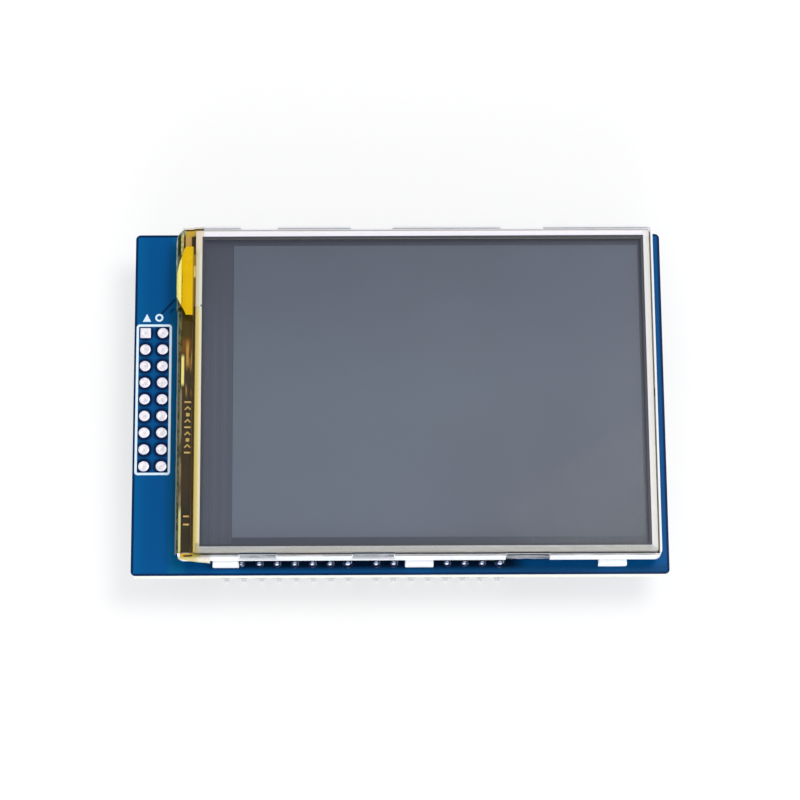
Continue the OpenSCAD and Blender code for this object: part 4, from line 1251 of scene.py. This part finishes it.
# Painted shadow: a dark line along the foot of the touch panel, left out where the tape bridges to the
# panel, and another along the tape's rear edge. Dark patches also lie at the rear left, at the rear of
# the ledge and at the front end. All of them are made nearly opaque below.
foot_shadow = band(x, -30.04, -29.78, 0.04) * band(y, -23.6, 24.0, 0.12)
bridged_foot = band(y, 17.4, 18.9, 0.3) * 0.8
foot_shadow = foot_shadow * (1 - bridged_foot)
left_line = (1 - fade(x, -31.24, -31.16)) * fade(y, 22.0, 22.3)
rear_dark_patch = band(x, -30.3, -29.5, 0.08) * band(y, 22.0, 24.3, 0.12)
rear_edge_shadow = band(y, 25.16, 25.38, 0.03)
front_dark_patch = band(x, -31.0, -29.7, 0.1) * band(y, -24.1, -23.85, 0.05)
dark_share = higher(higher(foot_shadow, left_line), higher(rear_dark_patch, front_dark_patch))
dark_share = higher(dark_share, rear_edge_shadow)
dark_share = dark_share * (1 - rear_end)
foot_colour = mix(band(y, 12, 22, 1), srgb(62, 34, 2), srgb(132, 96, 8))
amber_colour = mix(dark_share, amber_colour, foot_colour)
plug(surface, "Base Color", amber_colour)
rear_cover = fade(y, 21.9, 22.2)
front_cover = 1 - fade(y, -23.7, -23.5)
cover = higher(rear_cover, front_cover) * 0.9
cover = higher(cover, dark_share * 0.9)
ends = higher(front_end, rear_end)
cover = cover * (1 - ends * 0.45)
thin_share = grain(tree, 2, 2) * 0.02
alpha = cover + (thin_share + 0.005)
plug(surface, "Alpha", alpha)
emboss(surface, grain(tree, 0.9, 3, (1, 0.4, 1)), 0.03)

tape_low, tape_high = box_mm("bond_tape")
tape_t = 0.06
chip_top = box_mm("driver_chip")[1].z
over_chip = chip_top + tape_t
on_flex = ledge_z + flex_t + tape_t
tape_line = [
    (tape_high.x - 0.8, over_chip), (-29.1, over_chip), (-29.55, over_chip - 0.005),
    (-29.68, over_chip - 0.03), (-29.8, over_chip - 0.09), (-30.0, on_flex + 0.12),
    (-30.12, on_flex + 0.04), (-30.25, on_flex + 0.01), (-30.6, on_flex), (tape_low.x, on_flex),
    (fold_x - 0.09, on_flex), (fold_x - 0.25, on_flex - 0.025),
]
top_tape = bent_sheet("amber_top", tape_line, tape_t * 0.9, tape_low.y + 0.05, tape_high.y - 0.05,
                      amber, "amber_tape", 60)
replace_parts(top_tape, "bond_tape")


def tape_flap(y_wall, outward):
    """The end of the tape folded down a wall: a creased sheet with a slanting lower edge."""
    top_edge = [(-31.78, on_flex - 0.04), (-31.5, on_flex), *reversed(tape_line[:-2])]
    top_edge += [(tape_high.x - 0.4, over_chip), (tape_high.x, chip_top + 0.02),
                 (tape_high.x + 0.5, chip_top - 0.1)]
    start, end = top_edge[0][0], top_edge[-1][0]
    columns, rows = 34, 10
    vertices = []
    for side in (0, 1):
        for column in range(columns + 1):
            px = start + (end - start) * column / columns
            after = next(k for k in range(1, len(top_edge)) if top_edge[k][0] >= px - 1e-9)
            (xa, za), (xb, zb) = top_edge[after - 1], top_edge[after]
            z_top = za + (zb - za) * (px - xa) / max(xb - xa, 1e-9)
            share = (px - start) / (end - start)
            z_low = z_top - 0.25 - 1.25 * min(1.0, share * 1.7) + 0.06 * math.sin(share * 9)
            for row in range(rows + 1):
                fall = row / rows
                crumple = 0.02 * noise.noise((px * 2.2, fall * 3, y_wall)) * fall
                flare = (0.4 if outward < 0 else 0.05) * share * fall ** 2
                y_value = y_wall + outward * (tape_t * (0.35 + 0.6 * side) + crumple + flare)
                if row == 0:
                    y_value = y_wall - outward * 0.06 + outward * tape_t * side
                z_value = z_top + (z_low - z_top) * fall - (0.0 if row else 0.004)
                vertices.append((px, y_value, z_value))
    return vertices, sheet_faces(columns, rows, 1 if outward < 0 else 0)


flaps = [tape_flap(tape_low.y + tape_t, -1), tape_flap(tape_high.y - tape_t, 1)]
flap_piece = add_piece("amber_flaps", *joined(flaps), amber, "amber_tape", 60)
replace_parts(flap_piece, "bond_tape")

loose_film, tree, surface = new_finish("loose_film", {"Roughness": 0.3, "Specular IOR Level": 0.2})
x, y, _ = place_axes(tree)
flecks = fade(grain(tree, 0.42, 4, (1, 0.55, 1)), 0.4, 0.6)
film_green = mix(flecks, srgb(10, 24, 0), srgb(46, 58, 16))
pale_edge = mix(flecks, srgb(122, 140, 120), srgb(196, 206, 190))
film_yellow = mix(flecks, srgb(168, 158, 86), srgb(214, 204, 134))
loose_colour = mix(fade(x, -32.42, -32.3), pale_edge, film_green)
loose_colour = mix(fade(x, -31.9, -31.8), loose_colour, film_yellow)
loose_colour = mix(fade(x, -31.5, -31.42), loose_colour, srgb(84, 54, 4))
corner_pale = fade(y, 24.3, 25.0) * 0.8
loose_colour = mix(corner_pale, loose_colour, pale_edge)
plug(surface, "Base Color", loose_colour)
emboss(surface, flecks, 0.03)
loose_profile = [(0.0, 0.0), (-0.3, 0.0), (-0.6, 0.0), (-0.76, -0.02), (-0.95, -0.08),
                 (-1.12, -0.22), (-1.26, -0.45), (-1.36, -0.75), (-1.4, -1.1), (-1.37, -1.45)]
loose_steps = 40
loose_front = 18.6
loose_rear = 25.3
loose_vertices = []
for side in (0, 1):
    for step in range(loose_steps + 1):
        y_value = loose_front + (loose_rear - loose_front) * step / loose_steps
        pull_in = max(0.0, (y_value - 24.0) / 1.3)
        reach = 1 - 0.55 * pull_in ** 1.6 - 0.05 * math.exp(-((y_value - loose_front) / 0.8) ** 2)
        lift = 0.03 + 0.05 * min(1.0, max(0.0, y_value - 23.4) / 0.5)
        for px, pz in loose_profile:
            ripple = 0.04 * noise.noise((px * 1.5, y_value * 0.9, 7.0)) * abs(px)
            loose_vertices.append((fold_x + px * reach + ripple, y_value,
                                   on_flex + lift + pz * reach - 0.04 * side))
loose_faces = sheet_faces(loose_steps, len(loose_profile) - 1)
add_piece("loose_film", loose_vertices, loose_faces, loose_film, "clear_tape", 60)


# ---------------------------------------------------------------- touch panel
# A sheet of glass and a film over it, both with a clear conductive coat, and held a hair
# apart by a glued frame that carries the printed silver conductors.
frame_low, frame_high = box_mm("touch_spacer")

mount_tape, tree, surface = new_finish("mount_tape", {"Roughness": 0.5, "Specular IOR Level": 0.2})
mount_colour = mix(grain(tree, 2, 3), srgb(206, 198, 178), srgb(186, 178, 166))
# Painted shade: the tape's upright sides are near black, as the panel above shades them.
mount_colour = mix(facing_up(tree), srgb(44, 44, 48), mount_colour)
plug(surface, "Base Color", mount_colour)
emboss(surface, grain(tree, 0.4), 0.01)
dress("touch_tape", mount_tape)


def glancing(tree, blend):
    """The field that rises from 0, on a face seen straight on, to 1 on one seen along it."""
    return Field(add_node(tree, "ShaderNodeLayerWeight", {"Blend": blend}).outputs["Facing"])


glass, tree, surface = new_finish("touch_glass", {"Roughness": 0.05, "IOR": 1.52})
level_share = facing_up(tree)
# The glass's upright edges are near black and nearly opaque: partly the glass's own dark edge, partly
# painted shade of the gap along the panel's edge.
edge_colour = mix(grain(tree, 0.8, 2, (1, 1, 3)), srgb(34, 36, 32), srgb(22, 22, 22))
face_colour = mix(grain(tree, 8), srgb(150, 158, 160), srgb(160, 166, 168))
plug(surface, "Base Color", mix(level_share, edge_colour, face_colour))
face_alpha = glancing(tree, 0.25) ** 3 * 0.5 + 0.02
edge_share = 1 - level_share
plug(surface, "Alpha", higher(face_alpha, edge_share * 0.94))
dress("touch_glass", glass)


def tone_ramp(value, stops):
    """A colour that goes through a row of (place, tone) stops as the value goes from 0 to 1."""
    node = add_node(value.socket.id_data, "ShaderNodeValToRGB", {"Fac": value})
    elements = node.color_ramp.elements
    for index, (place, tone) in enumerate(stops):
        stop = elements[index] if index < 2 else elements.new(place)
        stop.position = place
        stop.color = (*srgb(*tone), 1)
    return node.outputs["Color"]


rim, tree, surface = new_finish("panel_frame", {"Roughness": 0.4, "Specular IOR Level": 0.45})
x, y, _ = place_axes(tree)
depth = edge_distance(tree, frame_low, frame_high)
rim_lines = tone_ramp(depth / 1.1, (
    (0.0, (214, 210, 202)), (0.2, (222, 218, 206)), (0.34, (220, 218, 207)), (0.46, (203, 203, 195)),
    (0.56, (210, 211, 205)), (0.66, (217, 219, 216)), (0.85, (220, 222, 222)), (0.93, (206, 208, 210)),
))
rim_colour = mix(grain(tree, 5, 3) * 0.3, rim_lines, srgb(224, 222, 216))
rear_rim = fade(y, 23.6, 23.8)
rear_tone = mix(fade(y, 24.2, 24.35), srgb(250, 246, 255), srgb(255, 250, 252))
rim_colour = mix(rear_rim * 0.9, rim_colour, rear_tone)
# Painted shadow: a grey line at the rim's rear edge, where the gap behind the panel is in shade.
rear_gap_shadow = fade(y, 24.6, 24.64)
rim_colour = mix(rear_gap_shadow * 0.5, rim_colour, srgb(120, 112, 114))
right_rim = fade(x, 35.7, 35.9)
right_tone = mix(fade(x, 36.2, 36.4), srgb(234, 229, 232), srgb(232, 227, 214))
rim_colour = mix(right_rim * 0.8, rim_colour, right_tone)
left_colour = tone_ramp((x - frame_low.x) / 1.1, (
    (0.0, (176, 150, 64)), (0.12, (212, 190, 92)), (0.3, (214, 190, 92)), (0.45, (220, 202, 122)),
    (0.55, (232, 216, 164)), (0.62, (232, 222, 190)), (1.0, (224, 216, 194)),
))
on_left = 1 - fade(x, frame_low.x + 1.1, frame_low.x + 1.25)
rear_cream = mix(fade(x, frame_low.x + 0.1, frame_low.x + 0.4), srgb(190, 172, 106),
                 srgb(208, 202, 166))
rear_cream = mix(fade(x, frame_low.x + 0.45, frame_low.x + 0.8), rear_cream, srgb(222, 222, 208))
rear_cream = mix(fade(y, 20, 23), rear_cream, srgb(232, 217, 193))
left_colour = mix(fade(y, 11, 14), left_colour, rear_cream)
plug(surface, "Base Color", mix(on_left, rim_colour, left_colour))
emboss(surface, rim_lines, 0.01)
dress("touch_spacer", rim)

# Painted shadow: dark strips lie along the gap between the panel's right edge and the housing's lip,
# as the gap is in shade. A short slanting dark line and a dot on the rim by the tail are a dark mark
# on the rim.
dark_marks_and_gap_shadow = two_tone("dark_marks_and_gap_shadow", {"Roughness": 0.5, "Specular IOR Level": 0.2},
                     (1.5, 3, (1, 1, 1)), (30, 28, 30), (84, 80, 80))
rim_z = box_mm("touch_tape")[0].z
right_x = frame_high.x
panel_z = frame_high.z + 0.002
marks_and_shadow_lines = [
    track([(right_x + 0.04, frame_low.y - 0.05), (right_x + 0.04, frame_high.y + 0.1)], 0.38,
          rim_z + 0.004, 0.03),
    track([(right_x + 0.12, -0.55), (right_x + 0.15, 0.75)], 0.34, rim_z + 0.01, 0.05),
    track([(-29.85, 13.92), (-29.2, 13.5), (-28.72, 13.16)], 0.1, panel_z, 0.03),
    turned([(0, panel_z), (0.12, panel_z), (0.1, panel_z + 0.038), (0, panel_z + 0.038)],
           (-28.72, 13.14), 12),
]
add_piece("dark_marks_and_gap_shadow", *joined(marks_and_shadow_lines), dark_marks_and_gap_shadow, "clear_tape", 30)

film, tree, surface = new_finish("panel_film", {
    "Roughness": 0.16,
    "IOR": 1.5,
    "Specular IOR Level": 0.5,
})
film_colour = mix(grain(tree, 9, 2), srgb(176, 184, 202), srgb(190, 196, 212))
film_level = facing_up(tree)
# Painted shade: the film's upright edges are dark and mostly opaque, as the gap along the panel's edge
# is in shade.
plug(surface, "Base Color", mix(film_level, srgb(70, 70, 66), film_colour))
film_alpha = glancing(tree, 0.3) ** 2.5 * 0.6 + 0.03
film_side = (1 - film_level) * 0.7
film_alpha = higher(film_alpha, film_side)
plug(surface, "Alpha", film_alpha)
emboss(surface, grain(tree, 0.12, 3), 0.002)
dress("touch_film", film)

# A dark line runs round the inside of the window: partly the glued inner edge of the spacer, partly
# painted shade where the window's edge shades the picture.
seal_outer = [(-28.67, -22.97), (35.88, -22.97), (35.88, 23.91), (-28.67, 23.8)]
seal_inner = [(-28.36, -22.68), (35.5, -22.68), (35.5, 23.5), (-28.36, 23.45)]
seal_and_shade = two_tone("window_seal_and_shade", {"Roughness": 0.5}, (0.6,), (26, 27, 36), (44, 44, 53))


def window_line(outer, inner, z_low, z_high):
    """A closed four-sided line between an outer and an inner outline, with mitred corners."""
    vertices = []
    for corners, z_value in ((outer, z_low), (outer, z_high), (inner, z_high), (inner, z_low)):
        vertices += [(px, py, z_value) for px, py in corners]
    faces = []
    for loop in range(4):
        a = 4 * loop
        b = 4 * ((loop + 1) % 4)
        for k in range(4):
            after = (k + 1) % 4
            faces.append((a + k, a + after, b + after, b + k))
    return vertices, faces


film_z = box_mm("touch_film")[0].z
line_body = window_line(seal_outer, seal_inner, film_z - 0.09, film_z + 0.004)
add_piece("window_seal_and_shade", *line_body, seal_and_shade, "panel_film", 30)


# ---------------------------------------------------------------- touch tail and its tape
# The touch panel's own flex comes out between its layers and folds back under the display.
# A short piece of yellow polyester tape, pressed on by hand, holds it down and is creased.
tail_low, tail_high = box_mm("touch_tail")
tail_t = 0.1
top_r = 1.4
tail_line = [(-28.9, frame_low.z + tail_t), (-29.8, frame_low.z + tail_t)]
tail_line += arc_points((tail_low.x + top_r, frame_low.z + tail_t - top_r), top_r, 90, 180, 12)
tail_line += arc_points((fold_x, fold_z), fold_x - tail_low.x, 180, 270, 12)
tail_line += [(fold_x + 0.7, tail_low.z)]
tail_film, tree, surface = new_finish("tail_film", {"Roughness": 0.35, "Specular IOR Level": 0.25})
_, along, y_mm = length_axes(tree)
tail_colour = mix(grain(tree, 1.5, 3), srgb(128, 92, 24), srgb(150, 112, 40))
shade = mix(fade(y_mm, 17.3, 17.7), srgb(110, 78, 6), srgb(212, 184, 100))
shade = mix(fade(y_mm, 19.0, 19.4), shade, srgb(142, 110, 20))
tail_colour = mix(band(along, 0.7, 1.06, 0.04), tail_colour, shade)
tail_flecks = fade(grain(tree, 0.42, 4, (1, 0.55, 1)), 0.4, 0.6)
tail_olive = mix(tail_flecks, srgb(30, 44, 10), srgb(92, 98, 52))
tail_colour = mix(fade(along, 1.5, 1.9), tail_colour, tail_olive)
tail_colour = mix(band(along, 3.6, 4.6, 0.1), tail_colour, srgb(140, 148, 122))
root = 1 - fade(along, 0.62, 0.7)
root_colour = mix(fade(along, 0.08, 0.22), srgb(222, 222, 212), srgb(206, 202, 174))
root_colour = mix(fade(along, 0.42, 0.5), root_colour, srgb(208, 194, 144))
tail_colour = mix(root, tail_colour, root_colour)
plug(surface, "Base Color", tail_colour)
emboss(surface, grain(tree, 0.5, 3), 0.01)
tail_body = bent_sheet("touch_flex", tail_line, tail_t, tail_low.y, tail_high.y, tail_film,
                       "flex_film", 20)
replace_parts(tail_body, "touch_tail")

yellow, tree, surface = new_finish("yellow_tape", {"Roughness": 0.34, "Specular IOR Level": 0.1})
_, along, y_mm = length_axes(tree)
yellow_colour = mix(grain(tree, 1.6, 3), srgb(212, 166, 0), srgb(226, 184, 0))
# The bend is painted pale yellow: partly a painted highlight along the bend, partly the thin
# translucent tape looking paler there.
bend_highlight_and_tint = fade(along, 1.76, 1.95)
yellow_colour = mix(bend_highlight_and_tint, yellow_colour, srgb(250, 240, 130))
# Painted shade: a darker line along the crease.
crease = band(along, 1.66, 1.78, 0.05)
crease_zone = band(y_mm, 13.4, 18.8, 0.4)
crease_shade = crease * crease_zone * 0.75
yellow_colour = mix(crease_shade, yellow_colour, srgb(160, 122, 12))
right_line = 1 - fade(along, 0.1, 0.2)
yellow_colour = mix(right_line * 0.85, yellow_colour, srgb(150, 120, 30))
plug(surface, "Base Color", yellow_colour)
emboss(surface, grain(tree, 0.8, 3, (1, 0.5, 1)), 0.03)

hold_low, hold_high = box_mm("holding_tape")
hold_r = top_r + 0.16
hold_centre = (hold_low.x + hold_r, hold_high.z - hold_r)
tape_outline = (  # y and x of the outer edge, from the rear end to the front
    (22.25, -30.98), (21.96, -31.26), (21.26, -31.5), (20.49, -31.74), (19.83, -32.0),
    (19.12, -32.23), (18.37, -32.39), (17.56, -32.45), (14.98, -32.45), (14.19, -32.14),
    (13.46, -31.79), (12.78, -31.44), (12.19, -31.14), (11.75, -30.98),
)
tape_inset = 0.27


def tape_reach(y_value):
    """The plan place of the tape's outer edge, at a place along it."""
    for (y_rear, x_rear), (y_front, x_front) in zip(tape_outline, tape_outline[1:]):
        if y_rear >= y_value >= y_front:
            return x_rear + (x_front - x_rear) * (y_rear - y_value) / (y_rear - y_front)
    return tape_outline[-1][1]


def tape_point(length, y_value):
    """A point of the tape's upper face and its normal, at a length from its inner edge."""
    flat = hold_high.x - tape_inset - hold_centre[0]
    if length < flat:
        return hold_high.x - tape_inset - length, hold_high.z, 0.0, 1.0
    angle = (length - flat) / hold_r
    if angle < math.pi / 2:
        sine, cosine = math.sin(angle), math.cos(angle)
        return hold_centre[0] - hold_r * sine, hold_centre[1] + hold_r * cosine, -sine, cosine
    return hold_low.x, hold_centre[1] - (angle - math.pi / 2) * hold_r, -1.0, 0.0


across_steps = 26
along_steps = 60
hold_vertices = []
hold_places = []
for side in (0, 1):
    for step in range(along_steps + 1):
        share = step / along_steps
        y_value = hold_high.y - (hold_high.y - hold_low.y) * share
        flat = hold_high.x - tape_inset - hold_centre[0]
        sine = min(1.0, (hold_centre[0] - tape_reach(y_value)) / hold_r)
        reach = flat + hold_r * math.asin(sine)
        for k in range(across_steps + 1):
            length = reach * k / across_steps
            px, pz, nx, nz = tape_point(length, y_value)
            dent = 0.05 * abs(noise.noise((length * 1.1, y_value * 0.5, 4.0)))
            crease_depth = 0.05 if 13.4 < y_value < 18.8 else 0.01
            dent += crease_depth * math.exp(-((length - 1.72) / 0.09) ** 2)
            dent += 0.03 * math.exp(-((y_value - 20.6 + 0.6 * length) / 0.16) ** 2)
            dent += 0.03 * math.exp(-((y_value - 13.1 - 0.7 * length) / 0.16) ** 2)
            dent += 0.07 * side
            y_edge = y_value
            if step in (0, along_steps):
                y_edge += 0.06 * noise.noise((length * 2.0, share * 9, 1.0))
            if step in (0, 1):
                y_edge -= 0.042 * abs(1 - length / 2.5)
            hold_vertices.append((px - nx * dent, y_edge, pz - nz * dent))
            hold_places.append((length, y_value))
hold_faces = sheet_faces(along_steps, across_steps)
hold_body = add_piece("tail_tape", hold_vertices, hold_faces, yellow, "yellow_tape", 60)
map_lengths(hold_body, hold_places)
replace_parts(hold_body, "holding_tape")
